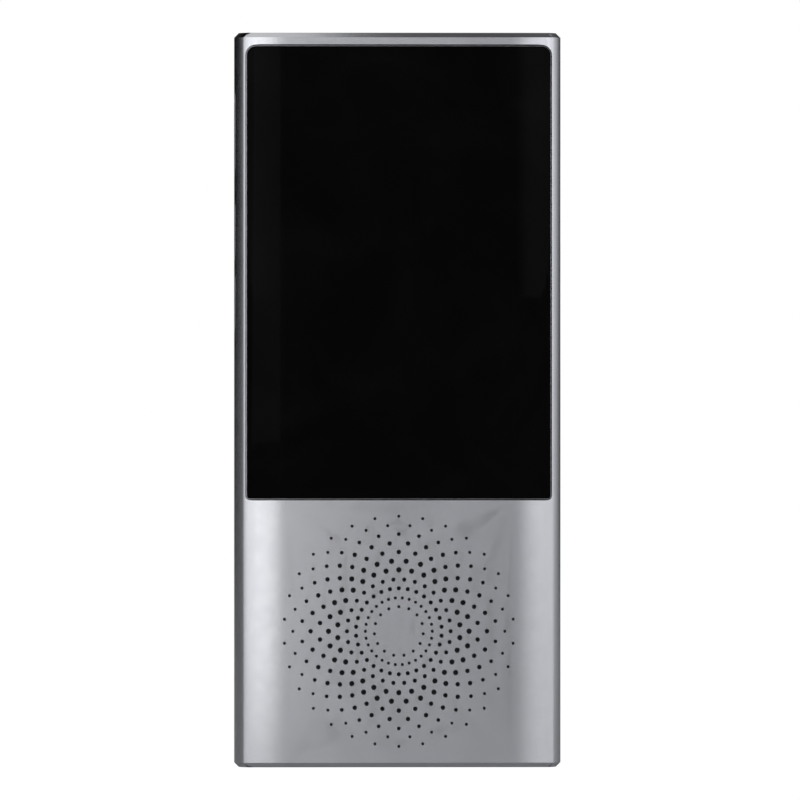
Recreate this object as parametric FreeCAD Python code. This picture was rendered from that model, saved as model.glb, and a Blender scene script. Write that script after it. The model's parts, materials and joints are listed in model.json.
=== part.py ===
import FreeCAD, Part
import math
import os
from FreeCAD import Vector

# A handheld translator, upright. X runs across its width, Y through its thickness with the
# screen towards -Y, and Z up its height. The origin is the middle of its bottom end.
# All sizes are in millimetres.

# Outline of the metal sleeve
width = 50.0
thickness = 11.0
height = 112.3
side_swell = 1.35
roll_width = 6.2
roll_drop = 0.43
edge_round = 0.25
end_chamfer = 0.7

# Walls of the sleeve
front_wall = 1.5
rear_wall = 1.5
side_wall = 1.8
cavity_round = 1.2

# How far every cut runs past the faces that it opens
overrun = 1.0

# Cover glass and the display behind it
glass_rim = 0.4
glass_above_grille = 2.84
glass_from_top = 2.04
glass_thickness = 0.7
glass_gap = 0.08
glass_top_round = 1.4
glass_bottom_round = 0.5
adhesive_thickness = 0.15
adhesive_inset = 0.1
side_ledge = 1.9
top_ledge = 1.8
bottom_ledge = 3.6
display_thickness = 1.5
display_gap = 0.2
display_flex_width = 12.0
display_flex_off_centre = -4.0
display_flex_foot = 1.7
display_flex_reach = 2.5
flex_pocket_gap = 0.05
slit_gap = 0.4

# Speaker grille: rings of holes about one centre. The drills are few-sided because there are
# so many of them.
grille_from_cap = 0.88
first_ring_radius = 3.75
ring_pitch = 1.367
ring_hole_diameters = (0.45, 0.45, 0.62, 0.62, 0.79, 0.79, 0.68, 0.68, 0.565, 0.45, 0.45)
first_ring_holes = 15
ring_holes = 30
drill_sides = 5

# End caps, set into the ends of the sleeve
cap_recess = 0.2
cap_thickness = 1.6
cap_gap = 0.08
cap_screw_length = 3.4
cap_screw_head = 0.7
cap_screw_sink = 1.0
screw_radius = 0.7
screw_head_radius = 1.25
screw_hole_gap = 0.05
screw_sides = 12
shank_sides = 6

# Keys, all of one build: a cap through the wall, a lip behind it and a nub over a switch
key_width = 2.4
key_gap = 0.1
key_lip = 0.6
key_lip_gap = 0.05
key_lip_thickness = 0.5
key_nub = 0.35
key_nub_width = 1.5
key_travel = 0.35
key_rest_gap = 0.05
switch_height = 0.7
switch_dome_height = 0.28
switch_width = 2.6
switch_length = 3.2
switch_dome_width = 1.8
flex_thickness = 0.15
key_flex_width = 3.2
key_flex_overhang = 3.5
talk_key_length = 14.0
own_talk_key_from_top = 26.3
talk_key_gap = 4.0
volume_key_length = 9.0
volume_key_below_door = 4.0
volume_key_gap = 2.0
power_key_length = 10.0
power_key_from_side = 13.0
power_shelf_thickness = 0.8

# Inner frame that carries everything and slides into the sleeve
frame_plate = 0.8
frame_front_gap = 0.1
frame_side_gap = 0.3
frame_rear_gap = 0.1
frame_wall = 0.8
rib_thickness = 0.8
rib_depth = 2.0
boss_width = 3.2
board_standoff = 0.7
cap_boss_width = 4.6
cap_boss_height = 4.4
cap_boss_gap = 0.1

# Circuit boards
board_thickness = 0.8
board_gap = 0.35
main_board_height = 28.9
board_shelf_gap = 0.15
board_screw_inset = 1.9
board_screw_length = 2.1
board_screw_head = 0.6
board_hole_gap = 0.15
screw_from_lead = 3.5
sub_board_thickness = 0.6
sub_board_standoff = 0.22
sub_board_gap = 0.2
shield_height = 1.6
shield_wall = 0.2
shield_from_side = 3.9
shield_from_top = 3.0
part_gap = 1.5
chip_height = 1.0
chip_side_margin = 2.0
chip_end_margin = 3.0
memory_from_side = 3.7
flex_width = 3.3
flex_clearance = 0.02
flex_from_cap = 1.0
flex_reach = 3.5
connector_inset = 1.2
connector_length = 2.0
connector_thickness = 1.0

# Battery, which fills the room between the speaker and the main board
battery_from_speaker = 2.8
battery_from_board = 1.0
battery_flex_gap = 0.5
battery_rear_gap = 1.25
battery_tape = 0.15
battery_tape_margin = 3.0
battery_lead_width = 6.0
battery_lead_reach = 2.0

# Speaker, round in the product and modelled with flat facets because nothing shows it
speaker_sides = 16
mesh_thickness = 0.15
grille_margin = 0.7
gasket_width = 0.7
speaker_port_gap = 0.3
speaker_rear_gap = 1.0
speaker_seat = 1.0
basket_flange_width = 1.3
basket_flange = 0.6
basket_depth = 3.0
basket_wall = 0.6
collar_gap = 0.1
collar_wall = 0.6
collar_height = 0.8
cone_rim = 0.8
cone_thickness = 0.3
surround_width = 2.0
surround_rise = 0.45
cone_drop = 1.0
dust_cap_rise = 0.7
dust_cap_flat = 2.8
coil_radius = 5.7
coil_wall = 0.4
coil_inner_gap = 0.2
coil_outer_gap = 1.0
coil_end_gap = 1.0
yoke_wall = 1.4
yoke_floor = 0.8
pole_thickness = 0.8
pole_gap = 0.1

# Charging port and microphones
port_width = 8.94
port_height = 3.16
port_wall = 0.3
port_depth = 7.25
port_back = 0.8
port_setback = 0.15
port_gap = 0.12
tongue_width = 6.7
tongue_thickness = 0.7
tongue_setback = 0.75
microphone_width = 2.8
microphone_length = 1.9
microphone_height = 0.9
microphone_hole_radius = 0.45
microphone_from_flex = 0.2
boot_from_boss = 1.3
boot_length = 1.3
boot_width = 3.8
boot_height = 2.4
boot_gap = 0.1

# Card tray in the left side
tray_below_screw = 1.1
tray_board_gap = 0.25
tray_door_length = 13.0
tray_door_width = 2.4
tray_door_depth = 1.6
tray_width = 11.6
tray_thickness = 1.3
tray_length = 16.0
tray_gap = 0.1
card_length = 12.3
card_width = 8.8
card_thickness = 0.67
card_gap = 0.08
card_corner = 1.6
card_from_tip = 0.8
card_ledge = 1.3
tray_pin_radius = 0.45
tray_pin_depth = 1.2
tray_pin_from_middle = 5.0
socket_wall = 0.25

# Rear camera and its lamp
camera_from_side = 12.0
camera_below_screw = 2.0
camera_ring_radius = 5.2
camera_ring_gap = 0.05
camera_ring_land = 0.7
camera_window_thickness = 0.6
camera_window_setback = 0.1
camera_base = 8.5
camera_base_height = 3.4
camera_barrel_inset = 1.3
camera_barrel_setback = 0.2
camera_lens_radius = 1.6
camera_lens_depth = 0.5
camera_sides = 16
lamp_from_camera = 8.5
lamp_radius = 1.5
lamp_gap = 0.06
lamp_led_height = 0.7
lamp_led_width = 2.1

# Antenna over the top edge of the main board
antenna_width = 12.5
antenna_side_gap = 0.2
antenna_rear_gap = 0.4
antenna_foil = 0.1
antenna_foil_margin = 0.5

# Faces of the sleeve and its cavity
front = -thickness / 2
rear = thickness / 2
cavity_front = front + front_wall
cavity_rear = rear - rear_wall
cavity_side = width / 2 - side_wall
bottom_seat = cap_recess + cap_thickness
top_seat = height - bottom_seat

# Grille, glass and display, from the bottom end up
grille_radius = first_ring_radius + ring_pitch * (len(ring_hole_diameters) - 1)
mesh_radius = grille_radius + grille_margin
grille_height = bottom_seat + grille_from_cap + mesh_radius
glass_side = width / 2 - side_swell - glass_rim
glass_top = height - glass_from_top
glass_bottom = grille_height + grille_radius + glass_above_grille
glass_back = front + glass_thickness
ledge_face = glass_back + adhesive_thickness
window_side = glass_side - side_ledge
window_top = glass_top - top_ledge
window_bottom = glass_bottom + bottom_ledge
display_back = glass_back + display_thickness

# Inner frame and the main board on it
plate_front = display_back + frame_front_gap
plate_back = plate_front + frame_plate
key_depth = key_lip_gap + key_lip_thickness + key_nub + key_travel + key_rest_gap
wall_outer = cavity_side - key_depth - switch_height - flex_thickness
wall_inner = wall_outer - frame_wall
wall_rear = cavity_rear - frame_rear_gap
power_shelf_top = top_seat - key_depth - switch_height - flex_thickness
board_side = wall_inner - board_gap
board_front = plate_back + board_standoff
board_back = board_front + board_thickness
main_board_top = power_shelf_top - power_shelf_thickness - board_shelf_gap
main_board_bottom = main_board_top - main_board_height
board_screw_side = board_side - board_screw_inset
lower_screw_height = main_board_bottom + board_screw_inset
upper_screw_height = main_board_top - board_screw_inset
inner_screw_across = battery_lead_width / 2 + screw_from_lead

# Card tray and camera, both below the board's upper screws
socket_half = tray_width / 2 + tray_gap + socket_wall
tray_height = upper_screw_height - screw_head_radius - tray_below_screw - socket_half
tray_middle = board_back + tray_board_gap + tray_thickness / 2
tray_door_inner = -cavity_side - side_wall + tray_door_depth
tray_tip = tray_door_inner + tray_length
socket_end = tray_tip + tray_gap + socket_wall
card_x = (tray_tip - card_from_tip - card_length, tray_tip - card_from_tip)
card_floor = tray_middle + tray_thickness / 2 - card_thickness
camera_across = width / 2 - camera_from_side
camera_height = upper_screw_height - screw_head_radius - camera_below_screw - camera_base / 2
camera_window_radius = camera_ring_radius - camera_ring_land
camera_barrel_radius = camera_window_radius - camera_barrel_inset
camera_seat = rear - camera_window_setback - camera_window_thickness
lamp_height = camera_height - lamp_from_camera

# Keys
own_talk_key_height = height - own_talk_key_from_top
other_talk_key_height = own_talk_key_height - talk_key_length - talk_key_gap
volume_up_height = tray_height - tray_door_length / 2 - volume_key_below_door - volume_key_length / 2
volume_down_height = volume_up_height - volume_key_length - volume_key_gap
power_key_across = width / 2 - power_key_from_side
talk_keys = (own_talk_key_height, other_talk_key_height)
volume_keys = (volume_up_height, volume_down_height)

# Small board, port and microphones at the bottom end
sub_board_front = plate_back + sub_board_standoff
sub_board_back = sub_board_front + sub_board_thickness
port_middle = sub_board_back + port_height / 2
port_mouth = cap_recess + port_setback
port_end = port_mouth + port_depth
flex_right = board_side
flex_left = flex_right - flex_width
microphone_across = flex_left - microphone_from_flex - microphone_width / 2
microphones_at = (-microphone_across, microphone_across)
cap_screw_across = microphone_across - (cap_boss_width + boot_width) / 2 - boot_from_boss
cap_screws_at = (-cap_screw_across, cap_screw_across)
cap_screw_seat = cap_recess + cap_screw_sink
bottom_boot_top = bottom_seat + boot_length
top_boot_bottom = main_board_top + boot_gap

# Speaker, between the port and the back wall
basket_radius = grille_height - port_end - speaker_port_gap
speaker_radius = basket_radius + basket_flange_width
speaker_hole_radius = speaker_radius - speaker_seat
collar_radius = speaker_radius + collar_gap + collar_wall
sub_board_top = grille_height - collar_radius - sub_board_gap
basket_floor = plate_back + basket_depth
yoke_front = basket_floor - basket_wall
yoke_rear = cavity_rear - speaker_rear_gap
yoke_bottom = yoke_rear - yoke_floor
yoke_radius = coil_radius + coil_outer_gap + yoke_wall
magnet_radius = coil_radius - coil_wall - coil_inner_gap
coil_front = plate_back + cone_drop
pole_front = yoke_front + pole_gap
magnet_front = pole_front + pole_thickness

# Battery beside the ribbon
battery_x = (-board_side, flex_left - battery_flex_gap)
battery_y = (plate_back + battery_tape, cavity_rear - battery_rear_gap)
battery_z = (grille_height + collar_radius + battery_from_speaker, main_board_bottom - battery_from_board)

# Large parts on the main board
radio_shield_x = (-board_side + shield_from_side, -battery_lead_width / 2 - part_gap)
radio_shield_z = (main_board_bottom + part_gap, tray_height - socket_half - part_gap)
processor_shield_x = (socket_end + part_gap, camera_across - camera_base / 2 - part_gap)
processor_shield_z = (radio_shield_z[1] + part_gap, main_board_top - shield_from_top)
memory_chip_x = (inner_screw_across + screw_head_radius + part_gap, board_side - memory_from_side)
memory_chip_z = (main_board_bottom + part_gap, lamp_height - lamp_radius - part_gap)

right = Vector(1, 0, 0)
left = Vector(-1, 0, 0)
back = Vector(0, 1, 0)
forward = Vector(0, -1, 0)
up = Vector(0, 0, 1)


# Plain shapes

def block(x, y, z):
    """A box from its low and high values along each axis."""
    size = (x[1] - x[0], y[1] - y[0], z[1] - z[0])
    return Part.makeBox(*size, Vector(x[0], y[0], z[0]))


def about(middle, size):
    """Low and high values of a size centred on a middle."""
    return (middle - size / 2, middle + size / 2)


def edges_along(shape, way):
    """The straight edges of a shape that run along one direction."""
    found = []
    for edge in shape.Edges:
        if isinstance(edge.Curve, Part.Line) and abs(edge.Curve.Direction.dot(way)) > 0.999:
            found.append(edge)
    return found


def rounded_block(x, y, z, way, radius):
    """A box whose four edges along one direction are rounded."""
    shape = block(x, y, z)
    return shape.makeFillet(radius, edges_along(shape, way))


def disc(centre, way, radius, length):
    """A cylinder from its first end's centre."""
    return Part.makeCylinder(radius, length, centre, way)


def corner_radius(radius, sides):
    """Where a polygon's corners lie if its corners and flats share out the true radius."""
    return 2 * radius / (1 + math.cos(math.pi / sides))


def prism(centre, way, radius, length, sides):
    """A few-sided stand-in for a small cylinder."""
    first = Vector(way.y, way.z, way.x)
    second = way.cross(first)
    reach = corner_radius(radius, sides)
    points = []
    for index in range(sides):
        angle = 2 * math.pi * index / sides
        points.append(centre + first * (reach * math.cos(angle)) + second * (reach * math.sin(angle)))
    return Part.Face(Part.makePolygon(points + points[:1])).extrude(way * length)


def obround(centre, out, along, length, wide, depth):
    """A slot shape with round ends, raised from its centre along out."""
    across = out.cross(along)
    radius = wide / 2
    run = along * (length / 2 - radius)
    side = across * radius
    tip = along * (length / 2)
    edges = [
        Part.LineSegment(centre - run + side, centre + run + side).toShape(),
        Part.Arc(centre + run + side, centre + tip, centre + run - side).toShape(),
        Part.LineSegment(centre + run - side, centre - run - side).toShape(),
        Part.Arc(centre - run - side, centre - tip, centre - run + side).toShape(),
    ]
    return Part.Face(Part.Wire(edges)).extrude(out * depth)


def oblong(centre, out, along, length, wide, depth):
    """The same with square ends."""
    across = out.cross(along)
    points = []
    for a, b in ((-1, -1), (1, -1), (1, 1), (-1, 1)):
        points.append(centre + along * (a * length / 2) + across * (b * wide / 2))
    return Part.Face(Part.makePolygon(points + points[:1])).extrude(out * depth)


def joined(shape, *others):
    """Several touching shapes as one clean solid."""
    return shape.fuse(list(others)).removeSplitter()


def turned(outline):
    """A faceted solid about the speaker's axis, from (radius, y) points."""
    reach = corner_radius(1, speaker_sides)
    faces = []
    for index in range(speaker_sides):
        start = 2 * math.pi * index / speaker_sides
        end = 2 * math.pi * (index + 1) / speaker_sides
        for (first, y_first), (last, y_last) in zip(outline, outline[1:] + outline[:1]):
            corners = []
            for radius, y, angle in ((first, y_first, start), (first, y_first, end),
                                     (last, y_last, end), (last, y_last, start)):
                across = reach * radius * math.cos(angle)
                rise = reach * radius * math.sin(angle)
                corner = Vector(across, y, grille_height + rise)
                if corner not in corners:
                    corners.append(corner)
            if len(corners) > 2:
                faces.append(Part.Face(Part.makePolygon(corners + corners[:1])))
    return Part.Solid(Part.Shell(faces)).removeSplitter()


def round_plate(radius, y):
    """A disc about the speaker's axis."""
    return turned([(0, y[0]), (radius, y[0]), (radius, y[1]), (0, y[1])])


def round_tube(outer, inner, y):
    """A tube about the speaker's axis."""
    return turned([(inner, y[0]), (outer, y[0]), (outer, y[1]), (inner, y[1])])


# The metal sleeve

def sleeve_outline():
    """Half flat, half rolled faces and two swelled sides, as one closed wire."""
    flat = width / 2 - side_swell - roll_width
    corner_x = width / 2 - side_swell
    corner_y = rear - roll_drop
    roll_radius = (roll_width ** 2 + roll_drop ** 2) / (2 * roll_drop)
    half_roll = math.asin(roll_width / roll_radius) / 2
    middle_x = flat + roll_radius * math.sin(half_roll)
    middle_y = rear - roll_radius * (1 - math.cos(half_roll))
    corners = {}
    for sx in (-1, 1):
        for sy in (-1, 1):
            corners[sx, sy] = (
                Vector(sx * flat, sy * rear, 0),
                Vector(sx * middle_x, sy * middle_y, 0),
                Vector(sx * corner_x, sy * corner_y, 0),
            )
    edges = []
    for sy in (-1, 1):
        edges.append(Part.LineSegment(corners[-1, sy][0], corners[1, sy][0]).toShape())
        for sx in (-1, 1):
            edges.append(Part.Arc(*corners[sx, sy]).toShape())
    for sx in (-1, 1):
        bulge = Vector(sx * width / 2, 0, 0)
        edges.append(Part.Arc(corners[sx, -1][2], bulge, corners[sx, 1][2]).toShape())
    return Part.Wire(Part.__sortEdges__(edges))


def sleeve_skin():
    """The sleeve's outer form as one solid, before anything is cut from it."""
    solid = Part.Face(sleeve_outline()).extrude(Vector(0, 0, height))
    ends = []
    for edge in solid.Edges:
        level = {round(vertex.Z, 6) for vertex in edge.Vertexes}
        if level in ({0.0}, {round(height, 6)}):
            ends.append(edge)
    solid = solid.makeChamfer(end_chamfer, ends)
    corner_x = width / 2 - side_swell
    long_edges = [edge for edge in edges_along(solid, up)
                  if abs(abs(edge.Vertexes[0].X) - corner_x) < edge_round]
    return solid.makeFillet(edge_round, long_edges)


def glass_outline(grow, low_y, high_y):
    """The cover glass's plan, grown by a gap and raised between two Y values."""
    x = (-glass_side - grow, glass_side + grow)
    z = (glass_bottom - grow, glass_top + grow)
    shape = block(x, (low_y, high_y), z)
    middle = (glass_bottom + glass_top) / 2
    upper = [edge for edge in edges_along(shape, back) if edge.Vertexes[0].Z > middle]
    shape = shape.makeFillet(glass_top_round + grow, upper)
    lower = [edge for edge in edges_along(shape, back) if edge.Vertexes[0].Z < middle]
    return shape.makeFillet(glass_bottom_round + grow, lower)


def grille_drills():
    """One drill for each hole of the grille. Rings of larger holes stand further apart."""
    drills = []
    radius = first_ring_radius
    for index, diameter in enumerate(ring_hole_diameters):
        if index:
            growth = diameter - ring_hole_diameters[index - 1]
            radius += ring_pitch + max(0.0, growth) / 2
        count = ring_holes if index else first_ring_holes
        start = 0 if index % 2 else 90
        for hole in range(count):
            angle = math.radians(start + hole * 360 / count)
            centre = Vector(radius * math.cos(angle), front - overrun,
                            grille_height + radius * math.sin(angle))
            drills.append(prism(centre, back, diameter / 2, front_wall + 2 * overrun, drill_sides))
    return drills


def side_point(side, z):
    """The middle of the cavity's side wall at one height; side is the wall's outward way."""
    return side * cavity_side + up * z


def side_cut(side, z, length, wide):
    """An opening through a side wall."""
    return obround(side_point(side, z) - side * overrun, side, up, length, wide, side_wall + 2 * overrun)


def body_shell(skin):
    cavity = rounded_block((-cavity_side, cavity_side), (cavity_front, cavity_rear),
                           (-overrun, height + overrun), up, cavity_round)
    window = block((-window_side, window_side), (front - overrun, cavity_front + overrun),
                   (window_bottom, window_top))
    shell = skin.cut([cavity, glass_outline(glass_gap, front - overrun, ledge_face), window])
    cuts = [side_cut(right, z, talk_key_length + 2 * key_gap, key_width + 2 * key_gap) for z in talk_keys]
    cuts += [side_cut(left, z, volume_key_length + 2 * key_gap, key_width + 2 * key_gap) for z in volume_keys]
    cuts.append(side_cut(left, tray_height, tray_door_length + 2 * tray_gap, tray_door_width + 2 * tray_gap))
    for z, radius in ((camera_height, camera_ring_radius + camera_ring_gap),
                      (lamp_height, lamp_radius + lamp_gap)):
        centre = Vector(camera_across, cavity_rear - overrun, z)
        cuts.append(disc(centre, back, radius, rear_wall + 2 * overrun))
    return shell.cut(cuts).cut(grille_drills())


# Screen

def cover_glass(skin):
    return glass_outline(0, front - overrun, glass_back).common(skin)


def display_adhesive():
    outer = glass_outline(-adhesive_inset, glass_back, ledge_face)
    inner = block((-window_side, window_side), (glass_back, ledge_face), (window_bottom, window_top))
    return outer.cut(inner)


def display_panel():
    return block((-window_side + display_gap, window_side - display_gap), (glass_back, display_back),
                 (window_bottom + display_gap, window_top - display_gap))


flex_foot = window_bottom + display_flex_foot
flex_turn = main_board_bottom + display_flex_reach
display_flex_x = about(display_flex_off_centre, display_flex_width)


def display_flex():
    """A ribbon up the back of the display and through the frame to the main board."""
    run = block(display_flex_x, (display_back, display_back + flex_thickness),
                (flex_foot, flex_turn + flex_thickness))
    turn = block(display_flex_x, (display_back, board_front - flex_clearance),
                 (flex_turn, flex_turn + flex_thickness))
    return joined(run, turn)


# Inner frame

board_screws_at = (
    (-board_screw_side, lower_screw_height),
    (inner_screw_across, lower_screw_height),
    (-board_screw_side, upper_screw_height),
    (board_screw_side, upper_screw_height),
)


def frame_walls():
    """Two upright walls behind the frame's plate, with the slot for the card tray."""
    y = (plate_back, wall_rear)
    z = (bottom_seat, top_seat)
    slot = block((-wall_outer - overrun, -wall_inner + overrun),
                 about(tray_middle, tray_thickness + 2 * tray_gap),
                 about(tray_height, tray_width + 2 * tray_gap))
    return [block((-wall_outer, -wall_inner), y, z).cut(slot), block((wall_inner, wall_outer), y, z)]


def frame_bosses():
    """Seats for the main board's screws and for the bottom cap's."""
    bosses = []
    for x, z in board_screws_at:
        bosses.append(block(about(x, boss_width), (plate_back, board_front), about(z, boss_width)))
    for x in cap_screws_at:
        bosses.append(block(about(x, cap_boss_width), (plate_back, port_middle + cap_boss_width / 2),
                            (bottom_seat, cap_boss_height)))
    return bosses


def inner_frame():
    plate_side = cavity_side - frame_side_gap
    plate = block((-plate_side, plate_side), (plate_front, plate_back), (bottom_seat, top_seat))
    collar = round_tube(collar_radius, collar_radius - collar_wall, (plate_back, plate_back + collar_height))
    rib_top = battery_z[0] - cap_boss_gap
    rib = block((-wall_inner, battery_x[1]), (plate_back, plate_back + rib_depth),
                (rib_top - rib_thickness, rib_top))
    shelf = block((power_key_across - power_key_length / 2 - key_lip, wall_inner), (plate_back, key_width),
                  (power_shelf_top - power_shelf_thickness, power_shelf_top))
    frame = joined(plate, *frame_walls(), *frame_bosses(), collar, rib, shelf)
    cuts = [round_plate(speaker_hole_radius, (plate_front - overrun, plate_back + overrun))]
    pocket_x = about(display_flex_off_centre, display_flex_width + 2 * display_gap)
    slit_top = flex_turn + flex_thickness + slit_gap
    cuts.append(block(pocket_x, (plate_front - overrun, display_back + flex_thickness + flex_pocket_gap),
                      (flex_foot - slit_gap, slit_top)))
    cuts.append(block(pocket_x, (plate_front - overrun, plate_back + overrun),
                      (flex_turn - slit_gap, slit_top)))
    hole = screw_radius + screw_hole_gap
    depth = board_screw_length - board_thickness + screw_hole_gap
    for x, z in board_screws_at:
        cuts.append(prism(Vector(x, board_front, z), forward, hole, depth, shank_sides))
    for x in cap_screws_at:
        cuts.append(prism(Vector(x, port_middle, bottom_seat), up, hole, cap_screw_length, shank_sides))
    return frame.cut(cuts)


# Boards and what is on them

def main_board():
    board = block((-board_side, board_side), (board_front, board_back), (main_board_bottom, main_board_top))
    holes = [prism(Vector(x, board_front - overrun, z), back, screw_radius + board_hole_gap,
                   board_thickness + 2 * overrun, shank_sides) for x, z in board_screws_at]
    return board.cut(holes)


def screw(seat, way, head_height, shank_length):
    """A plain screw. way points from its seat to the top of its head."""
    head = prism(seat, way, screw_head_radius, head_height, screw_sides)
    shank = prism(seat, way * -1, screw_radius, shank_length, shank_sides)
    return joined(head, shank)


def board_screws():
    return Part.makeCompound([screw(Vector(x, board_back, z), back, board_screw_head, board_screw_length)
                              for x, z in board_screws_at])


def shield(x, z):
    """A drawn metal can, open towards the board."""
    y = (board_back, board_back + shield_height)
    inside = block((x[0] + shield_wall, x[1] - shield_wall), (y[0], y[1] - shield_wall),
                   (z[0] + shield_wall, z[1] - shield_wall))
    return block(x, y, z).cut(inside)


def chip(x, z):
    return block(x, (board_back, board_back + chip_height), z)


def shielded_chip(x, z):
    """The chip under a shield."""
    return chip((x[0] + chip_side_margin, x[1] - chip_side_margin),
                (z[0] + chip_end_margin, z[1] - chip_end_margin))


def sub_board():
    """The small board at the bottom end, notched round the frame's screw bosses."""
    board = block((-board_side, board_side), (sub_board_front, sub_board_back),
                  (bottom_seat + cap_boss_gap, sub_board_top))
    notch_y = (sub_board_front - overrun, sub_board_back + overrun)
    notch_z = (bottom_seat - overrun, cap_boss_height + cap_boss_gap)
    notches = [block(about(x, cap_boss_width + 2 * cap_boss_gap), notch_y, notch_z) for x in cap_screws_at]
    return board.cut(notches)


ribbon_back = sub_board_front - 2 * flex_clearance


def board_flex():
    """The ribbon that joins the two boards, flat on the frame's plate beside the battery."""
    return block((flex_left, flex_right), (ribbon_back - flex_thickness, ribbon_back),
                 (bottom_seat + flex_from_cap, main_board_bottom + flex_reach))


def flex_connectors():
    """One connector under each board's end of the ribbon."""
    x = (flex_left, flex_right)
    start = main_board_bottom + connector_inset
    high = block(x, (ribbon_back, board_front), (start, start + connector_length))
    low = block(x, (sub_board_back, sub_board_back + connector_thickness),
                (sub_board_top - connector_length, sub_board_top))
    return Part.makeCompound([high, low])


# Battery

def battery_cell():
    return block(battery_x, battery_y, battery_z)


def battery_adhesive():
    return block((battery_x[0] + battery_tape_margin, battery_x[1] - battery_tape_margin),
                 (plate_back, battery_y[0]),
                 (battery_z[0] + battery_tape_margin, battery_z[1] - battery_tape_margin))


def battery_lead():
    return block(about(0, battery_lead_width), (board_back, board_back + flex_thickness),
                 (battery_z[1], main_board_bottom + battery_lead_reach))


# Speaker

def grille_mesh():
    return round_plate(mesh_radius, (cavity_front, cavity_front + mesh_thickness))


def speaker_gasket():
    return round_tube(mesh_radius, mesh_radius - gasket_width, (cavity_front + mesh_thickness, plate_front))


def speaker_frame():
    inner = basket_radius - basket_wall
    seat = yoke_radius + collar_gap
    return turned([
        (inner, plate_back),
        (speaker_radius, plate_back),
        (speaker_radius, plate_back + basket_flange),
        (basket_radius, plate_back + basket_flange),
        (basket_radius, basket_floor),
        (seat, basket_floor),
        (seat, yoke_front),
        (inner, yoke_front),
    ])


def speaker_cone():
    """Rim, raised surround, cone and dust cap, all of one thickness."""
    rim_outer = speaker_hole_radius - collar_gap
    rim_inner = rim_outer - cone_rim
    top = [
        (rim_outer, plate_back),
        (rim_inner, plate_back),
        (rim_inner - surround_width / 2, plate_back - surround_rise),
        (rim_inner - surround_width, plate_back),
        (coil_radius, coil_front),
        (dust_cap_flat, coil_front - dust_cap_rise),
        (0, coil_front - dust_cap_rise),
    ]
    over = [(radius, y - cone_thickness) for radius, y in reversed(top)]
    return turned(over + top)


def voice_coil():
    return round_tube(coil_radius, coil_radius - coil_wall, (coil_front, yoke_bottom - coil_end_gap))


def speaker_yoke():
    """The steel cup that closes the magnet's field round the coil."""
    inner = yoke_radius - yoke_wall
    return turned([(0, yoke_bottom), (inner, yoke_bottom), (inner, yoke_front), (yoke_radius, yoke_front),
                   (yoke_radius, yoke_rear), (0, yoke_rear)])


def pole_plate():
    return round_plate(magnet_radius, (pole_front, magnet_front))


def speaker_magnet():
    return round_plate(magnet_radius, (magnet_front, yoke_bottom))


# Ends

def cap_plate(low, high):
    """A plate that fills the sleeve's cavity between two heights."""
    side = cavity_side - cap_gap
    return rounded_block((-side, side), (cavity_front + cap_gap, cavity_rear - cap_gap), (low, high), up,
                         cavity_round - cap_gap)


def bottom_cap():
    """Carries the charging port's opening, two sunk screws and two microphone holes."""
    below = cap_recess - overrun
    through = cap_thickness + 2 * overrun
    cuts = [obround(Vector(0, port_middle, below), up, right, port_width + 2 * port_gap,
                    port_height + 2 * port_gap, through)]
    for x in cap_screws_at:
        centre = Vector(x, port_middle, below)
        cuts.append(prism(centre, up, screw_radius + board_hole_gap, through, shank_sides))
        cuts.append(prism(centre, up, screw_head_radius + screw_hole_gap, cap_screw_sink + overrun,
                          screw_sides))
    for x in microphones_at:
        cuts.append(prism(Vector(x, port_middle, below), up, microphone_hole_radius, through, drill_sides))
    return cap_plate(cap_recess, bottom_seat).cut(cuts)


def top_cap():
    """Carries the power key's opening and one microphone hole."""
    below = top_seat - overrun
    through = cap_thickness + 2 * overrun
    key_opening = obround(Vector(power_key_across, 0, below), up, right, power_key_length + 2 * key_gap,
                          key_width + 2 * key_gap, through)
    hole = prism(Vector(0, 0, below), up, microphone_hole_radius, through, drill_sides)
    return cap_plate(top_seat, height - cap_recess).cut([key_opening, hole])


def cap_screws():
    seats = [Vector(x, port_middle, cap_screw_seat) for x in cap_screws_at]
    return Part.makeCompound([screw(seat, up * -1, cap_screw_head, cap_screw_length) for seat in seats])


def usb_port():
    """A drawn shell with an obround mouth, closed at its back."""
    mouth = Vector(0, port_middle, port_mouth)
    outer = obround(mouth, up, right, port_width, port_height, port_depth)
    inner = obround(mouth, up, right, port_width - 2 * port_wall, port_height - 2 * port_wall,
                    port_depth - port_back)
    return outer.cut(inner)


def usb_tongue():
    return block(about(0, tongue_width), about(port_middle, tongue_thickness),
                 (port_mouth + tongue_setback, port_end - port_back))


def microphones():
    """Two at the bottom end and one at the top, each on its board."""
    start = bottom_boot_top + boot_gap
    found = [block(about(x, microphone_width), (sub_board_back, sub_board_back + microphone_height),
                   (start, start + microphone_length)) for x in microphones_at]
    end = main_board_top - boot_gap
    found.append(block(about(0, microphone_width), (board_back, board_back + microphone_height),
                       (end - microphone_length, end)))
    return Part.makeCompound(found)


def boot(x, y, z):
    """A soft tube that leads the sound from a hole to its microphone."""
    body = block(about(x, boot_width), about(y, boot_height), z)
    return body.cut(prism(Vector(x, y, 0), up, microphone_hole_radius, height, drill_sides))


def microphone_boots():
    boots = [boot(x, port_middle, (bottom_seat, bottom_boot_top)) for x in microphones_at]
    boots.append(boot(0, 0, (top_boot_bottom, top_seat)))
    return Part.makeCompound(boots)


# Keys and their switches

def key(point, out, along, length, limit):
    """One key. point is on the wall's inner face, and limit is the form its cap ends flush with."""
    cap = obround(point - out * key_lip_gap, out, along, length, key_width, side_wall + 2 * overrun)
    lip = oblong(point - out * (key_lip_gap + key_lip_thickness), out, along, length + 2 * key_lip,
                 key_width + 2 * key_lip, key_lip_thickness)
    nub = oblong(point - out * (key_lip_gap + key_lip_thickness + key_nub), out, along, key_nub_width,
                 key_nub_width, key_nub)
    return joined(cap.common(limit), lip, nub)


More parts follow.
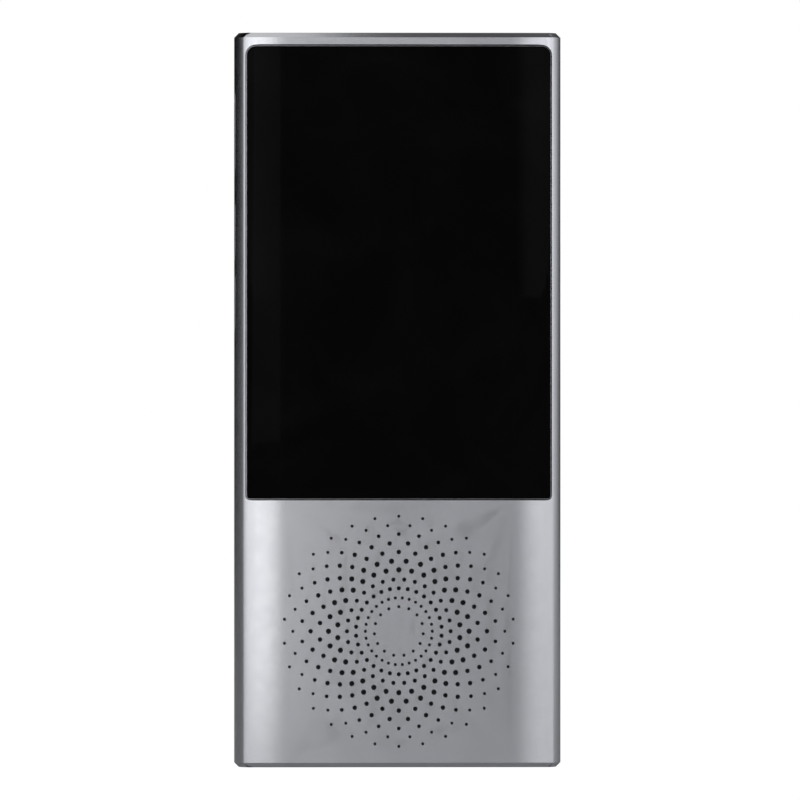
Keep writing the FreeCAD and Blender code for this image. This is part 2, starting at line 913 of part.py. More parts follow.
def switch(point, out, along):
    """A dome switch: a flat body with a raised pad on it, under the key's nub."""
    base = point - out * (key_depth + switch_height)
    body = oblong(base, out, along, switch_length, switch_width, switch_height - switch_dome_height)
    pad = oblong(base, out, along, switch_dome_width, switch_dome_width, switch_height)
    return joined(body, pad)


power_point = Vector(power_key_across, 0, top_seat)


def key_switches():
    switches = [switch(side_point(right, z), right, up) for z in talk_keys]
    switches += [switch(side_point(left, z), left, up) for z in volume_keys]
    switches.append(switch(power_point, up, right))
    return Part.makeCompound(switches)


def side_flex(sign, heights):
    """A ribbon on the frame's wall, under one side's switches."""
    x = sorted((sign * wall_outer, sign * (wall_outer + flex_thickness)))
    return block(x, about(0, key_flex_width),
                 (min(heights) - key_flex_overhang, max(heights) + key_flex_overhang))


def top_flex():
    return block(about(power_key_across, 2 * key_flex_overhang), about(0, key_flex_width),
                 (power_shelf_top, power_shelf_top + flex_thickness))


# Card tray

def sim_tray(skin):
    """The door and the plate behind it, with a pocket for the card and a window under that."""
    door = obround(Vector(tray_door_inner, 0, tray_height), left, up, tray_door_length, tray_door_width,
                   side_wall + overrun).common(skin)
    plate = block((tray_door_inner, tray_tip), about(tray_middle, tray_thickness),
                  about(tray_height, tray_width))
    pocket = block((card_x[0] - card_gap, card_x[1] + card_gap), (card_floor, card_floor + tray_thickness),
                   about(tray_height, card_width + 2 * card_gap))
    window = block((card_x[0] + card_ledge, card_x[1] - card_ledge),
                   (tray_middle - tray_thickness, tray_middle + tray_thickness),
                   about(tray_height, card_width - 2 * card_ledge))
    pin = prism(Vector(-width / 2 - overrun, 0, tray_height + tray_pin_from_middle), right, tray_pin_radius,
                overrun + tray_pin_depth, drill_sides)
    return joined(door, plate).cut([pocket, window, pin])


def sim_card():
    """A nano card with its cut corner at the tray's tip."""
    card = block(card_x, (card_floor, card_floor + card_thickness), about(tray_height, card_width))
    corner = [edge for edge in edges_along(card, back)
              if edge.Vertexes[0].X > sum(card_x) / 2 and edge.Vertexes[0].Z > tray_height]
    return card.makeChamfer(card_corner, corner)


def sim_socket():
    """A folded metal hood over the tray, open towards the left side."""
    top = tray_middle + tray_thickness / 2 + tray_gap
    hood = block((-board_side, socket_end), (board_back, top + socket_wall),
                 about(tray_height, 2 * socket_half))
    inside = block((-board_side - overrun, socket_end - socket_wall),
                   (tray_middle - tray_thickness / 2 - tray_gap, top),
                   about(tray_height, 2 * (socket_half - socket_wall)))
    return hood.cut(inside)


# Rear camera

def camera_ring():
    """A turned ring in the back wall that holds the camera's window."""
    base = Vector(camera_across, cavity_rear, camera_height)
    body = disc(base, back, camera_ring_radius, rear_wall)
    bore = disc(base - back * overrun, back, camera_window_radius + camera_ring_gap, rear_wall + 2 * overrun)
    return body.cut(bore)


def camera_window():
    return disc(Vector(camera_across, camera_seat, camera_height), back, camera_window_radius,
                camera_window_thickness)


def camera_module():
    base_top = board_back + camera_base_height
    base = block(about(camera_across, camera_base), (board_back, base_top), about(camera_height, camera_base))
    barrel_end = camera_seat - camera_barrel_setback
    barrel = prism(Vector(camera_across, base_top, camera_height), back, camera_barrel_radius,
                   barrel_end - base_top, camera_sides)
    well = prism(Vector(camera_across, barrel_end - camera_lens_depth, camera_height), back,
                 camera_lens_radius, camera_lens_depth, camera_sides)
    return joined(base, barrel).cut(well)


def lamp_guide():
    """A clear rod that brings the lamp's light to the back face."""
    start = board_back + lamp_led_height + lamp_gap
    return prism(Vector(camera_across, start, lamp_height), back, lamp_radius,
                 rear - camera_window_setback - start, camera_sides)


def lamp_led():
    return block(about(camera_across, lamp_led_width), (board_back, board_back + lamp_led_height),
                 about(lamp_height, lamp_led_width))


# Antenna

antenna_x = (-wall_inner + antenna_side_gap, -wall_inner + antenna_side_gap + antenna_width)
antenna_back = cavity_rear - antenna_rear_gap
antenna_z = (main_board_top + boot_gap, top_seat)


def antenna_carrier():
    return block(antenna_x, (plate_back + antenna_side_gap, antenna_back), antenna_z)


def antenna_strip():
    margin = antenna_foil_margin
    return block((antenna_x[0] + margin, antenna_x[1] - margin), (antenna_back, antenna_back + antenna_foil),
                 (antenna_z[0] + margin, antenna_z[1] - margin))


def build():
    """Every piece of the product by name."""
    skin = sleeve_skin()
    cap_limit = block((-width, width), (-width, width), (0, height - cap_recess))
    return {
        "body_shell": body_shell(skin),
        "cover_glass": cover_glass(skin),
        "display_adhesive": display_adhesive(),
        "display_panel": display_panel(),
        "display_flex": display_flex(),
        "inner_frame": inner_frame(),
        "main_board": main_board(),
        "board_screws": board_screws(),
        "processor_shield": shield(processor_shield_x, processor_shield_z),
        "processor_chip": shielded_chip(processor_shield_x, processor_shield_z),
        "radio_shield": shield(radio_shield_x, radio_shield_z),
        "radio_chip": shielded_chip(radio_shield_x, radio_shield_z),
        "memory_chip": chip(memory_chip_x, memory_chip_z),
        "sub_board": sub_board(),
        "board_flex": board_flex(),
        "flex_connectors": flex_connectors(),
        "battery_cell": battery_cell(),
        "battery_adhesive": battery_adhesive(),
        "battery_lead": battery_lead(),
        "grille_mesh": grille_mesh(),
        "speaker_gasket": speaker_gasket(),
        "speaker_frame": speaker_frame(),
        "speaker_cone": speaker_cone(),
        "voice_coil": voice_coil(),
        "speaker_yoke": speaker_yoke(),
        "speaker_magnet": speaker_magnet(),
        "pole_plate": pole_plate(),
        "bottom_cap": bottom_cap(),
        "top_cap": top_cap(),
        "cap_screws": cap_screws(),
        "usb_port": usb_port(),
        "usb_tongue": usb_tongue(),
        "microphones": microphones(),
        "microphone_boots": microphone_boots(),
        "power_key": key(power_point, up, right, power_key_length, cap_limit),
        "own_talk_key": key(side_point(right, own_talk_key_height), right, up, talk_key_length, skin),
        "other_talk_key": key(side_point(right, other_talk_key_height), right, up, talk_key_length, skin),
        "volume_up_key": key(side_point(left, volume_up_height), left, up, volume_key_length, skin),
        "volume_down_key": key(side_point(left, volume_down_height), left, up, volume_key_length, skin),
        "key_switches": key_switches(),
        "right_key_flex": side_flex(1, talk_keys),
        "left_key_flex": side_flex(-1, volume_keys),
        "power_key_flex": top_flex(),
        "sim_tray": sim_tray(skin),
        "sim_card": sim_card(),
        "sim_socket": sim_socket(),
        "camera_ring": camera_ring(),
        "camera_window": camera_window(),
        "camera_module": camera_module(),
        "lamp_guide": lamp_guide(),
        "lamp_led": lamp_led(),
        "antenna_carrier": antenna_carrier(),
        "antenna_strip": antenna_strip(),
    }


os.makedirs("parts", exist_ok=True)
for name, shape in build().items():
    if not shape.isValid():
        raise ValueError("not a valid solid: " + name)
    shape.exportStep("parts/" + name + ".step")
    box = shape.BoundBox
    print(f"{name:20s} {len(shape.Solids):3d} solids  volume {shape.Volume:10.2f}  "
          f"x {box.XMin:7.2f} {box.XMax:7.2f}  y {box.YMin:6.2f} {box.YMax:6.2f}  "
          f"z {box.ZMin:7.2f} {box.ZMax:7.2f}")
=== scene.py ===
import json
import math
from contextlib import contextmanager

import bmesh
import bpy
from bpy.props import FloatProperty, FloatVectorProperty, IntProperty, PointerProperty
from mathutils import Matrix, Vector


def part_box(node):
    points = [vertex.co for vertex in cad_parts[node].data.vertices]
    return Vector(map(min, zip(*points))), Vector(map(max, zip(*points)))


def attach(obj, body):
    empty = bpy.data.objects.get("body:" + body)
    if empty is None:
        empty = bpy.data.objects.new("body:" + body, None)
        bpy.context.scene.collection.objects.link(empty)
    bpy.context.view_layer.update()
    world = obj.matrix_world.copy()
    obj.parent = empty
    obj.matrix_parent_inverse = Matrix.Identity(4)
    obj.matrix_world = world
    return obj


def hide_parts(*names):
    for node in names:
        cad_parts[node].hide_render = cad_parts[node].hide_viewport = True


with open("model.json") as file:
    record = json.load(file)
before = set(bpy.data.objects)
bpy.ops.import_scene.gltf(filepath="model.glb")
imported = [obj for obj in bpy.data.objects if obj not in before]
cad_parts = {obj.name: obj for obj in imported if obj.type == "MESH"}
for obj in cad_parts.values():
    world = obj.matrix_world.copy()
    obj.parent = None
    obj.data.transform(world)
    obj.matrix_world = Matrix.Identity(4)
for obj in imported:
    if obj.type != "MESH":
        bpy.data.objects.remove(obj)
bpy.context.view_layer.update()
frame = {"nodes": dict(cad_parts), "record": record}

bl_info = {
    "name": "Handheld Translator",
    "version": (1, 0, 0),
    "blender": (4, 5, 0),
    "location": "View3D > Sidebar > Translator",
    "description": "Models and finishes a slim handheld translator in a metal sleeve",
    "category": "Add Mesh",
}

MM = 0.001
LOW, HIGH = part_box("body_shell")
WIDTH = HIGH.x - LOW.x
THICKNESS = HIGH.y - LOW.y
HEIGHT = HIGH.z - LOW.z
ACROSS = Vector((1, 0, 0))
BACK = Vector((0, 1, 0))
UP = Vector((0, 0, 1))

# How far cutters run past a piece, and how far a flared mouth starts outside its face
RUN_PAST = 1 * MM
MOUTH_OUT = 0.1 * MM
# Points closer than this are merged
MERGE_REACH = 0.002 * MM
# A width too small to see
HAIR = 0.01 * MM
# Width of the eased edges of the tray's plate
PLATE_EASE = 0.06 * MM


def size_property(name, description, millimetres):
    return FloatProperty(name=name, description=description, default=millimetres * MM, min=0,
                         subtype="DISTANCE", unit="LENGTH", precision=5)


def count_property(name, description, default):
    return IntProperty(name=name, description=description, default=default, min=3)


def colour_property(name, description, red, green, blue):
    return FloatVectorProperty(name=name, description=description, default=(red, green, blue, 1),
                               size=4, min=0, max=1, subtype="COLOR")


class TranslatorSizes(bpy.types.PropertyGroup):
    """Sizes of the modelled pieces."""
    side_swell: size_property("Side swell", "How far each side swells past its front edge", 1.35)
    roll_width: size_property("Roll width", "Width of the rolled band at each long edge", 6.2)
    roll_drop: size_property("Roll drop", "How far the front rolls away at its edge", 0.43)
    edge_round: size_property("Edge round", "Radius of the long edges", 0.25)
    end_chamfer: size_property("End chamfer", "Width of the chamfer at each end", 0.7)
    wall: size_property("Wall", "Thickness of the front and back walls", 1.5)
    side_wall: size_property("Side wall", "Thickness of the side walls", 1.8)
    cavity_round: size_property("Cavity round", "Radius of the cavity's corners", 1.2)
    glass_gap: size_property("Glass gap", "Gap round the cover glass", 0.08)
    glass_top_round: size_property("Glass top round", "Radius of the glass's top corners", 1.4)
    glass_foot_round: size_property("Glass foot round", "Radius of the glass's bottom corners", 0.5)
    glass_ease: size_property("Glass ease", "Width of the polished rim of the glass", 0.12)
    side_ledge: size_property("Side ledge", "Width of the ledge under each side of the glass", 1.9)
    top_ledge: size_property("Top ledge", "Width of the ledge under the glass's top", 1.8)
    foot_ledge: size_property("Foot ledge", "Width of the ledge under the glass's foot", 3.6)
    ledge_depth: size_property("Ledge depth", "Depth of the ledge under the front face", 0.85)
    glass_rim: size_property("Glass rim", "Width of the sleeve's bright rim round the glass", 0.14)
    rim_ease: size_property("Rim ease", "Width of the eased rims of openings", 0.1)
    key_gap: size_property("Key gap", "Gap round each key and the tray's door", 0.1)
    key_width: size_property("Key width", "Width of the keys and of the tray's door", 2.4)
    key_lip: size_property("Key lip", "How far a key's lip reaches past its cap", 0.6)
    lip_thickness: size_property("Lip thickness", "Thickness of a key's lip", 0.5)
    lip_gap: size_property("Lip gap", "Gap between a key's lip and its wall", 0.05)
    nub_width: size_property("Nub width", "Width of the nub that meets a switch", 1.5)
    nub_height: size_property("Nub height", "Height of the nub that meets a switch", 0.35)
    door_length: size_property("Door length", "Length of the card tray's door", 13)
    door_depth: size_property("Door depth", "Depth of the card tray's door", 1.6)
    pin_depth: size_property("Pin depth", "Depth of the tray's pin hole", 1.2)
    cap_round: size_property("Cap round", "Radius of the end caps' corners", 1.12)
    key_ease: size_property("Key ease", "Width of the eased rims of keys", 0.12)
    pin_height: size_property("Pin height", "Pin hole above the middle of the tray's door", 5)
    pin_radius: size_property("Pin radius", "Radius of the tray's pin hole", 0.45)
    port_width: size_property("Port width", "Width of the charging port's opening", 9.18)
    port_height: size_property("Port height", "Height of the charging port's opening", 3.4)
    screw_across: size_property("Screw across", "Cap screws' distance from the middle", 9.5)
    screw_head: size_property("Screw head", "Radius of a cap screw's head", 1.25)
    screw_head_height: size_property("Screw head height", "Height of a cap screw's head", 0.7)
    screw_shank: size_property("Screw shank", "Radius of a cap screw's shank", 0.7)
    screw_gap: size_property("Screw gap", "Gap round a cap screw", 0.05)
    screw_sink: size_property("Screw sink", "Depth of a cap screw's well", 1.0)
    ring_land: size_property("Ring land", "Width of the camera's ring", 0.65)
    hole_ease: size_property("Hole ease", "Width of the eased rims of drilled holes", 0.04)
    sound_across: size_property("Sound across", "Microphone holes' distance from the middle", 15)
    sound_radius: size_property("Sound radius", "Radius of the microphone holes", 0.45)
    lens_radius: size_property("Lens radius", "Radius of the camera's lens", 1.7)
    grille_height: size_property("Grille height", "Centre of the grille above the bottom end", 20.8)
    first_ring: size_property("First ring", "Radius of the grille's innermost ring", 3.75)
    ring_pitch: size_property("Ring pitch", "Distance between rings of holes", 1.367)
    inner_holes: count_property("Inner holes", "Holes in the innermost ring", 15)
    ring_holes: count_property("Ring holes", "Holes in each other ring", 30)
    hole_sides: count_property("Hole sides", "Sides of each drilled hole", 20)
    curve_steps: count_property("Curve steps", "Steps of each corner of an outline", 10)


# Diameters of the grille's holes, ring by ring from the middle
RING_HOLES = [size * MM for size in (0.45, 0.45, 0.62, 0.62, 0.79, 0.79, 0.68, 0.68, 0.565, 0.45, 0.45)]


class TranslatorColours(bpy.types.PropertyGroup):
    """Colours of the finishes."""
    metal: colour_property("Metal", "Anodised sleeve", 0.70, 0.71, 0.74)
    metal_worn: colour_property("Worn metal", "Sleeve where its edges are rubbed", 0.8, 0.8, 0.81)
    glass: colour_property("Glass", "Black-backed cover glass", 0.003, 0.003, 0.003)
    cap: colour_property("Caps", "Plastic end caps", 0.30, 0.305, 0.32)
    ring: colour_property("Camera ring", "Turned ring round the camera", 0.18, 0.18, 0.19)
    floor: colour_property("Floor", "Studio floor", 0.55, 0.55, 0.55)


# Node helpers

def node(tree, kind, inputs=None, **settings):
    """Adds a node, sets its options, then sets or links its inputs by name or number."""
    made = tree.nodes.new(kind)
    for key, value in settings.items():
        setattr(made, key, value)
    for key, value in (inputs or {}).items():
        socket = made.inputs[key]
        if isinstance(value, bpy.types.NodeSocket):
            tree.links.new(value, socket)
        else:
            socket.default_value = value
    return made


def math_node(tree, operation, first, second=0.5, clamp=False):
    made = node(tree, "ShaderNodeMath", {0: first, 1: second}, operation=operation, use_clamp=clamp)
    return made.outputs[0]


def mix_colour(tree, factor, first, second):
    return node(tree, "ShaderNodeMix", {0: factor, 6: first, 7: second}, data_type="RGBA").outputs[2]


def ranged(tree, value, low, high, to_low, to_high):
    made = node(tree, "ShaderNodeMapRange",
                {"Value": value, "From Min": low, "From Max": high, "To Min": to_low, "To Max": to_high})
    return made.outputs[0]


def noise(tree, vector, size, **options):
    """A noise whose scale follows from the size of its detail."""
    inputs = {"Vector": vector, "Scale": math_node(tree, "DIVIDE", 1.0, size)}
    inputs.update((key.capitalize(), value) for key, value in options.items())
    return node(tree, "ShaderNodeTexNoise", inputs).outputs["Fac"]


def new_group(name, inputs, outputs):
    """A group with a vector, numbers with their defaults, and its outputs."""
    tree = bpy.data.node_groups.new(name, "ShaderNodeTree")
    tree.interface.new_socket("Vector", in_out="INPUT", socket_type="NodeSocketVector")
    for socket, default in inputs.items():
        made = tree.interface.new_socket(socket, in_out="INPUT", socket_type="NodeSocketFloat")
        made.default_value = default
    for socket in outputs:
        tree.interface.new_socket(socket, in_out="OUTPUT", socket_type="NodeSocketFloat")
    entry = tree.nodes.new("NodeGroupInput")
    leave = tree.nodes.new("NodeGroupOutput")
    return tree, entry.outputs, leave.inputs


def blasted_grain():
    """Fine pits of bead blasting, with a slow mottle over them."""
    tree, given, out = new_group("Blasted Grain", {"Pit Size": 0.00012, "Mottle Size": 0.004},
                                 ("Height", "Mottle"))
    fine = noise(tree, given["Vector"], given["Pit Size"], detail=3.0, roughness=0.62)
    slow = noise(tree, given["Vector"], given["Mottle Size"], detail=4.0, roughness=0.55)
    tree.links.new(fine, out["Height"])
    tree.links.new(slow, out["Mottle"])
    return tree


def edge_wear():
    """A mask of rubbed corners, broken up by noise."""
    tree, given, out = new_group("Edge Wear", {"Amount": 0.5}, ("Mask",))
    geometry = node(tree, "ShaderNodeNewGeometry")
    raised = ranged(tree, geometry.outputs["Pointiness"], 0.52, 0.62, 0.0, 1.0)
    breakup = node(tree, "ShaderNodeTexNoise", {"Vector": given["Vector"], "Scale": 420.0, "Detail": 5.0})
    broken = ranged(tree, breakup.outputs["Fac"], 0.35, 0.7, 0.2, 1.0)
    worn = math_node(tree, "MULTIPLY", raised, broken)
    tree.links.new(math_node(tree, "MULTIPLY", worn, given["Amount"], True), out["Mask"])
    return tree


def soft_smudges():
    """Faint handling marks that change the gloss."""
    tree, given, out = new_group("Soft Smudges", {"Size": 0.02}, ("Mask",))
    warp = noise(tree, given["Vector"], given["Size"], detail=6.0, roughness=0.5, distortion=1.2)
    tree.links.new(ranged(tree, warp, 0.42, 0.72, 0.0, 1.0), out["Mask"])
    return tree


def brushed_lines():
    """Fine parallel tool marks along one axis of the vector given."""
    tree, given, out = new_group("Brushed Lines", {"Line Size": 0.00008, "Stretch": 0.02}, ("Height",))
    parts = node(tree, "ShaderNodeSeparateXYZ", {0: given["Vector"]})
    long_way = math_node(tree, "MULTIPLY", parts.outputs[0], given["Stretch"])
    squeezed = node(tree, "ShaderNodeCombineXYZ", {0: long_way, 1: parts.outputs[1], 2: parts.outputs[2]})
    lines = noise(tree, squeezed.outputs[0], given["Line Size"], detail=4.0)
    tree.links.new(lines, out["Height"])
    return tree


def moulded_grain():
    """The spark-eroded texture of moulded plastic."""
    tree, given, out = new_group("Moulded Grain", {"Grain Size": 0.00025}, ("Height", "Shade"))
    scale = math_node(tree, "DIVIDE", 1.0, given["Grain Size"])
    spots = {"Vector": given["Vector"], "Scale": scale}
    cells = node(tree, "ShaderNodeTexVoronoi", spots, feature="SMOOTH_F1")
    cloud = node(tree, "ShaderNodeTexNoise", {**spots, "Detail": 4.0})
    tree.links.new(math_node(tree, "ADD", cells.outputs["Distance"], cloud.outputs["Fac"]), out["Height"])
    tree.links.new(cloud.outputs["Fac"], out["Shade"])
    return tree


def woven_threads():
    """Two crossed sets of threads."""
    tree, given, out = new_group("Woven Threads", {"Pitch": 0.0002}, ("Height",))
    scale = math_node(tree, "DIVIDE", 0.3, given["Pitch"])
    spots = {"Vector": given["Vector"], "Scale": scale}
    along = node(tree, "ShaderNodeTexWave", spots, bands_direction="X")
    across = node(tree, "ShaderNodeTexWave", spots, bands_direction="Z")
    tree.links.new(math_node(tree, "MAXIMUM", along.outputs["Fac"], across.outputs["Fac"]), out["Height"])
    return tree


GROUP_MAKERS = {
    "Blasted Grain": blasted_grain,
    "Edge Wear": edge_wear,
    "Soft Smudges": soft_smudges,
    "Brushed Lines": brushed_lines,
    "Moulded Grain": moulded_grain,
    "Woven Threads": woven_threads,
}


def placed(tree, group, vector, **values):
    """Puts a shared group into a material, building it the first time."""
    shared = bpy.data.node_groups.get(group) or GROUP_MAKERS[group]()
    made = tree.nodes.new("ShaderNodeGroup")
    made.node_tree = shared
    tree.links.new(vector, made.inputs["Vector"])
    for key, value in values.items():
        made.inputs[key.replace("_", " ")].default_value = value
    return made.outputs


# Finishes

def fresh_tree(owner):
    """The emptied node tree of a material or a world."""
    owner.use_nodes = True
    owner.node_tree.nodes.clear()
    return owner.node_tree


def start_material(name, **constants):
    """An empty material with a Principled shader; constants go on the shader's own sockets."""
    material = bpy.data.materials.new(name)
    tree = fresh_tree(material)
    shader = tree.nodes.new("ShaderNodeBsdfPrincipled")
    output = tree.nodes.new("ShaderNodeOutputMaterial")
    tree.links.new(shader.outputs[0], output.inputs[0])
    for key, value in constants.items():
        shader.inputs[key.replace("_", " ")].default_value = value
    place = node(tree, "ShaderNodeTexCoord").outputs["Object"]
    return material, tree, shader, place


def toned(colour, factor, lift=0.0):
    """A colour made darker or lighter."""
    return [min(1, channel * factor + lift) for channel in colour[:3]] + [1]


def dress(tree, shader, colour, roughness, height, depth, strength=1.0):
    """Links the colour, the roughness and the relief to a shader."""
    tree.links.new(colour, shader.inputs["Base Color"])
    tree.links.new(roughness, shader.inputs["Roughness"])
    relief = node(tree, "ShaderNodeBump", {"Height": height, "Distance": depth, "Strength": strength})
    tree.links.new(relief.outputs[0], shader.inputs["Normal"])


def blasted_metal(name, colour, roughness=0.22, wear=0.5):
    """Bead-blasted and anodised aluminium."""
    material, tree, shader, place = start_material(name, Metallic=1.0)
    grain = placed(tree, "Blasted Grain", place)
    rubbed = placed(tree, "Edge Wear", place, Amount=wear)["Mask"]
    handled = placed(tree, "Soft Smudges", place, Size=0.03)["Mask"]
    speckle = ranged(tree, grain["Height"], 0.3, 0.7, 0.0, 1.0)
    body = mix_colour(tree, speckle, toned(colour, 0.93), toned(colour, 1.05))
    slow = ranged(tree, grain["Mottle"], 0.3, 0.7, 0.0, 0.25)
    body = mix_colour(tree, slow, body, colour)
    worn = list(bpy.context.scene.translator_colours.metal_worn)
    gloss = ranged(tree, handled, 0.0, 1.0, roughness, roughness + 0.025)
    gloss = math_node(tree, "SUBTRACT", gloss, math_node(tree, "MULTIPLY", rubbed, 0.1))
    dress(tree, shader, mix_colour(tree, rubbed, body, worn), gloss, grain["Height"], 0.000006, 0.6)
    return material


def polished_glass(name, colour, roughness=0.03, specular=0.5):
    """Black-backed glass with faint handling marks."""
    material, tree, shader, place = start_material(name, IOR=1.5, Specular_IOR_Level=specular)
    marks = placed(tree, "Soft Smudges", place, Size=0.018)["Mask"]
    lint = placed(tree, "Blasted Grain", place, Pit_Size=0.00008)
    dress(tree, shader, mix_colour(tree, marks, colour, toned(colour, 1.6)),
          ranged(tree, marks, 0.0, 1.0, roughness, roughness + 0.05), lint["Mottle"], 0.000002, 0.1)
    return material


def moulded_plastic(name, colour, roughness=0.5, grain=0.00025, depth=0.00001):
    """Textured moulding, slightly lighter in its high spots."""
    material, tree, shader, place = start_material(name)
    pattern = placed(tree, "Moulded Grain", place, Grain_Size=grain)
    rubbed = placed(tree, "Edge Wear", place, Amount=0.35)["Mask"]
    shade = ranged(tree, pattern["Shade"], 0.3, 0.7, 0.0, 1.0)
    body = mix_colour(tree, shade, toned(colour, 0.88), toned(colour, 1.12))
    dress(tree, shader, mix_colour(tree, rubbed, body, toned(colour, 1.5, 0.02)),
          ranged(tree, shade, 0.0, 1.0, roughness - 0.05, roughness + 0.06), pattern["Height"], depth, 0.5)
    return material


def worked_metal(name, colour, roughness=0.3):
    """Drawn, turned or plated metal with fine tool marks."""
    material, tree, shader, place = start_material(name, Metallic=1.0)
    marks = placed(tree, "Brushed Lines", place)["Height"]
    stains = placed(tree, "Soft Smudges", place, Size=0.006)["Mask"]
    rubbed = placed(tree, "Edge Wear", place, Amount=0.5)["Mask"]
    body = mix_colour(tree, ranged(tree, marks, 0.3, 0.7, 0.0, 1.0), toned(colour, 0.86), colour)
    dress(tree, shader, mix_colour(tree, rubbed, body, toned(colour, 1.25)),
          ranged(tree, stains, 0.0, 1.0, roughness, roughness + 0.12), marks, 0.000003, 0.6)
    return material


def patterned(name, pattern, low, high, rough, depth, strength=1.0, **constants):
    """A finish led by one pattern, which mixes two colours and sets the roughness and the relief."""
    material, tree, shader, place = start_material(name, **constants)
    mask = pattern(tree, place)
    dress(tree, shader, mix_colour(tree, mask, low, high), ranged(tree, mask, 0.0, 1.0, *rough),
          mask, depth, strength)
    return material


def acoustic_mesh(name, colour):
    """Woven black cloth behind the holes."""
    def threads(tree, place):
        return placed(tree, "Woven Threads", place, Pitch=0.00016)["Height"]
    return patterned(name, threads, colour, toned(colour, 2.2), (0.85, 0.6), 0.00003)


def circuit_board(name, colour):
    """Solder mask over copper tracks."""
    material, tree, shader, place = start_material(name, Coat_Roughness=0.25)
    tracks = node(tree, "ShaderNodeTexBrick",
                  {"Vector": place, "Scale": 900.0, "Mortar Size": 0.06, "Color1": (0, 0, 0, 1),
                   "Color2": (0.25, 0.25, 0.25, 1), "Mortar": (1, 1, 1, 1)}).outputs
    dress(tree, shader, mix_colour(tree, tracks["Color"], colour, toned(colour, 1.9, 0.004)),
          ranged(tree, tracks["Fac"], 0.0, 1.0, 0.32, 0.42), tracks["Fac"], 0.00002, 0.6)
    return material


def printed_ribbon(name, colour):
    """Amber film with rows of conductors showing through."""
    def lines(tree, place):
        rows = node(tree, "ShaderNodeTexWave", {"Vector": place, "Scale": 900.0}, bands_direction="X")
        return ranged(tree, rows.outputs["Fac"], 0.45, 0.6, 0.0, 1.0)
    return patterned(name, lines, colour, toned(colour, 1.7), (0.35, 0.28), 0.00001, 0.5)


def foil_wrap(name, colour):
    """Crinkled laminated foil round the battery, with painted shade darkening its creases."""
    def creases_with_painted_shade(tree, place):
        folds = node(tree, "ShaderNodeTexVoronoi", {"Vector": place, "Scale": 220.0},
                     feature="DISTANCE_TO_EDGE")
        return ranged(tree, folds.outputs["Distance"], 0.0, 0.2, 0.0, 1.0)
    # The creases get a darker colour: painted shade in the folds, beside their real relief and gloss.
    return patterned(name, creases_with_painted_shade, toned(colour, 0.8), colour, (0.5, 0.32), 0.00005, 0.5, Metallic=0.8)


def wound_copper(name, colour):
    """Fine copper windings, with painted shade darkening the grooves between them."""
    def turns_with_painted_shade(tree, place):
        wave = node(tree, "ShaderNodeTexWave", {"Vector": place, "Scale": 2200.0}, bands_direction="Y")
        return wave.outputs["Fac"]
    # The grooves between windings get a darker colour: painted shade, beside their real relief.
    return patterned(name, turns_with_painted_shade, toned(colour, 0.55), colour, (0.45, 0.25), 0.00003, Metallic=1.0)


def lamp_plastic(name, colour):
    """Frosted clear plastic with fine rings of a lens."""
    def rings(tree, place):
        low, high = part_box("lamp_guide")
        centred = node(tree, "ShaderNodeMapping", {"Vector": place, "Location": -(low + high) / 2})
        wave = node(tree, "ShaderNodeTexWave", {"Vector": centred.outputs[0], "Scale": 1100.0},
                    wave_type="RINGS", rings_direction="Y")
        return wave.outputs["Fac"]
    return patterned(name, rings, colour, toned(colour, 1.15), (0.12, 0.3), 0.00003, IOR=1.49)


def printed_card(name, colour):
    """White card with a gold contact pad."""
    material, tree, shader, place = start_material(name)
    contacts = node(tree, "ShaderNodeTexBrick", {"Vector": place, "Scale": 320.0, "Mortar Size": 0.03})
    gold = (0.8, 0.55, 0.2, 1)
    pads = ranged(tree, contacts.outputs["Fac"], 0.0, 1.0, 0.6, 0.0)
    tree.links.new(pads, shader.inputs["Metallic"])
    dress(tree, shader, mix_colour(tree, pads, colour, gold), ranged(tree, pads, 0.0, 1.0, 0.45, 0.25),
          contacts.outputs["Fac"], 0.00002)
    return material


SOFT = {"roughness": 0.72, "grain": 0.0004}
RUBBED = {"roughness": 0.2, "wear": 0.7}
# The maker of each slot's finish with its options; all others are plain moulded plastic
FINISHES = {
    "sleeve_metal": (blasted_metal, {}),
    "key_metal": (blasted_metal, RUBBED),
    "tray_metal": (blasted_metal, RUBBED),
    "ring_metal": (worked_metal, {"roughness": 0.22}),
    "screw_steel": (worked_metal, {}),
    "shield_metal": (worked_metal, {}),
    "port_steel": (worked_metal, {}),
    "magnet": (worked_metal, {}),
    "cover_glass": (polished_glass, {"specular": 0.02}),
    "camera_glass": (polished_glass, {}),
    "display": (polished_glass, {}),
    "cap_plastic": (moulded_plastic, {"roughness": 0.42, "grain": 0.0002}),
    "soft_black": (moulded_plastic, SOFT),
    "adhesive": (moulded_plastic, SOFT),
    "cone": (moulded_plastic, SOFT),
    "mesh": (acoustic_mesh, {}),
    "circuit_board": (circuit_board, {}),
    "flex": (printed_ribbon, {}),
    "battery_foil": (foil_wrap, {}),
    "copper": (wound_copper, {}),
    "lamp_clear": (lamp_plastic, {}),
    "card": (printed_card, {}),
}
# The slots whose colour is a user's and not the record's
USER_COLOURS = {"sleeve_metal": "metal", "key_metal": "metal", "tray_metal": "metal", "ring_metal": "ring",
                "cover_glass": "glass", "cap_plastic": "cap"}
RECORD_COLOURS = {entry["slot"]: [*entry["base_color"][:3], 1] for entry in frame["record"]["materials"]}


def finish_for(slot):
    """The finished material of one slot."""
    made = bpy.data.materials.get("finish_" + slot)
    if made:
        return made
    maker, options = FINISHES.get(slot, (moulded_plastic, {}))
    colour = RECORD_COLOURS[slot]
    if slot in USER_COLOURS:
        colour = list(getattr(bpy.context.scene.translator_colours, USER_COLOURS[slot]))
    return maker("finish_" + slot, colour, **options)


NODE_SLOTS = {entry["node"]: entry["material_slot"] for entry in frame["record"]["subparts"]}


def give_finish(piece, slot):
    """Puts a slot's finish on every material place of a piece."""
    material = finish_for(slot)
    if not piece.material_slots:
        piece.data.materials.append(material)
    for place in piece.material_slots:
        place.material = material


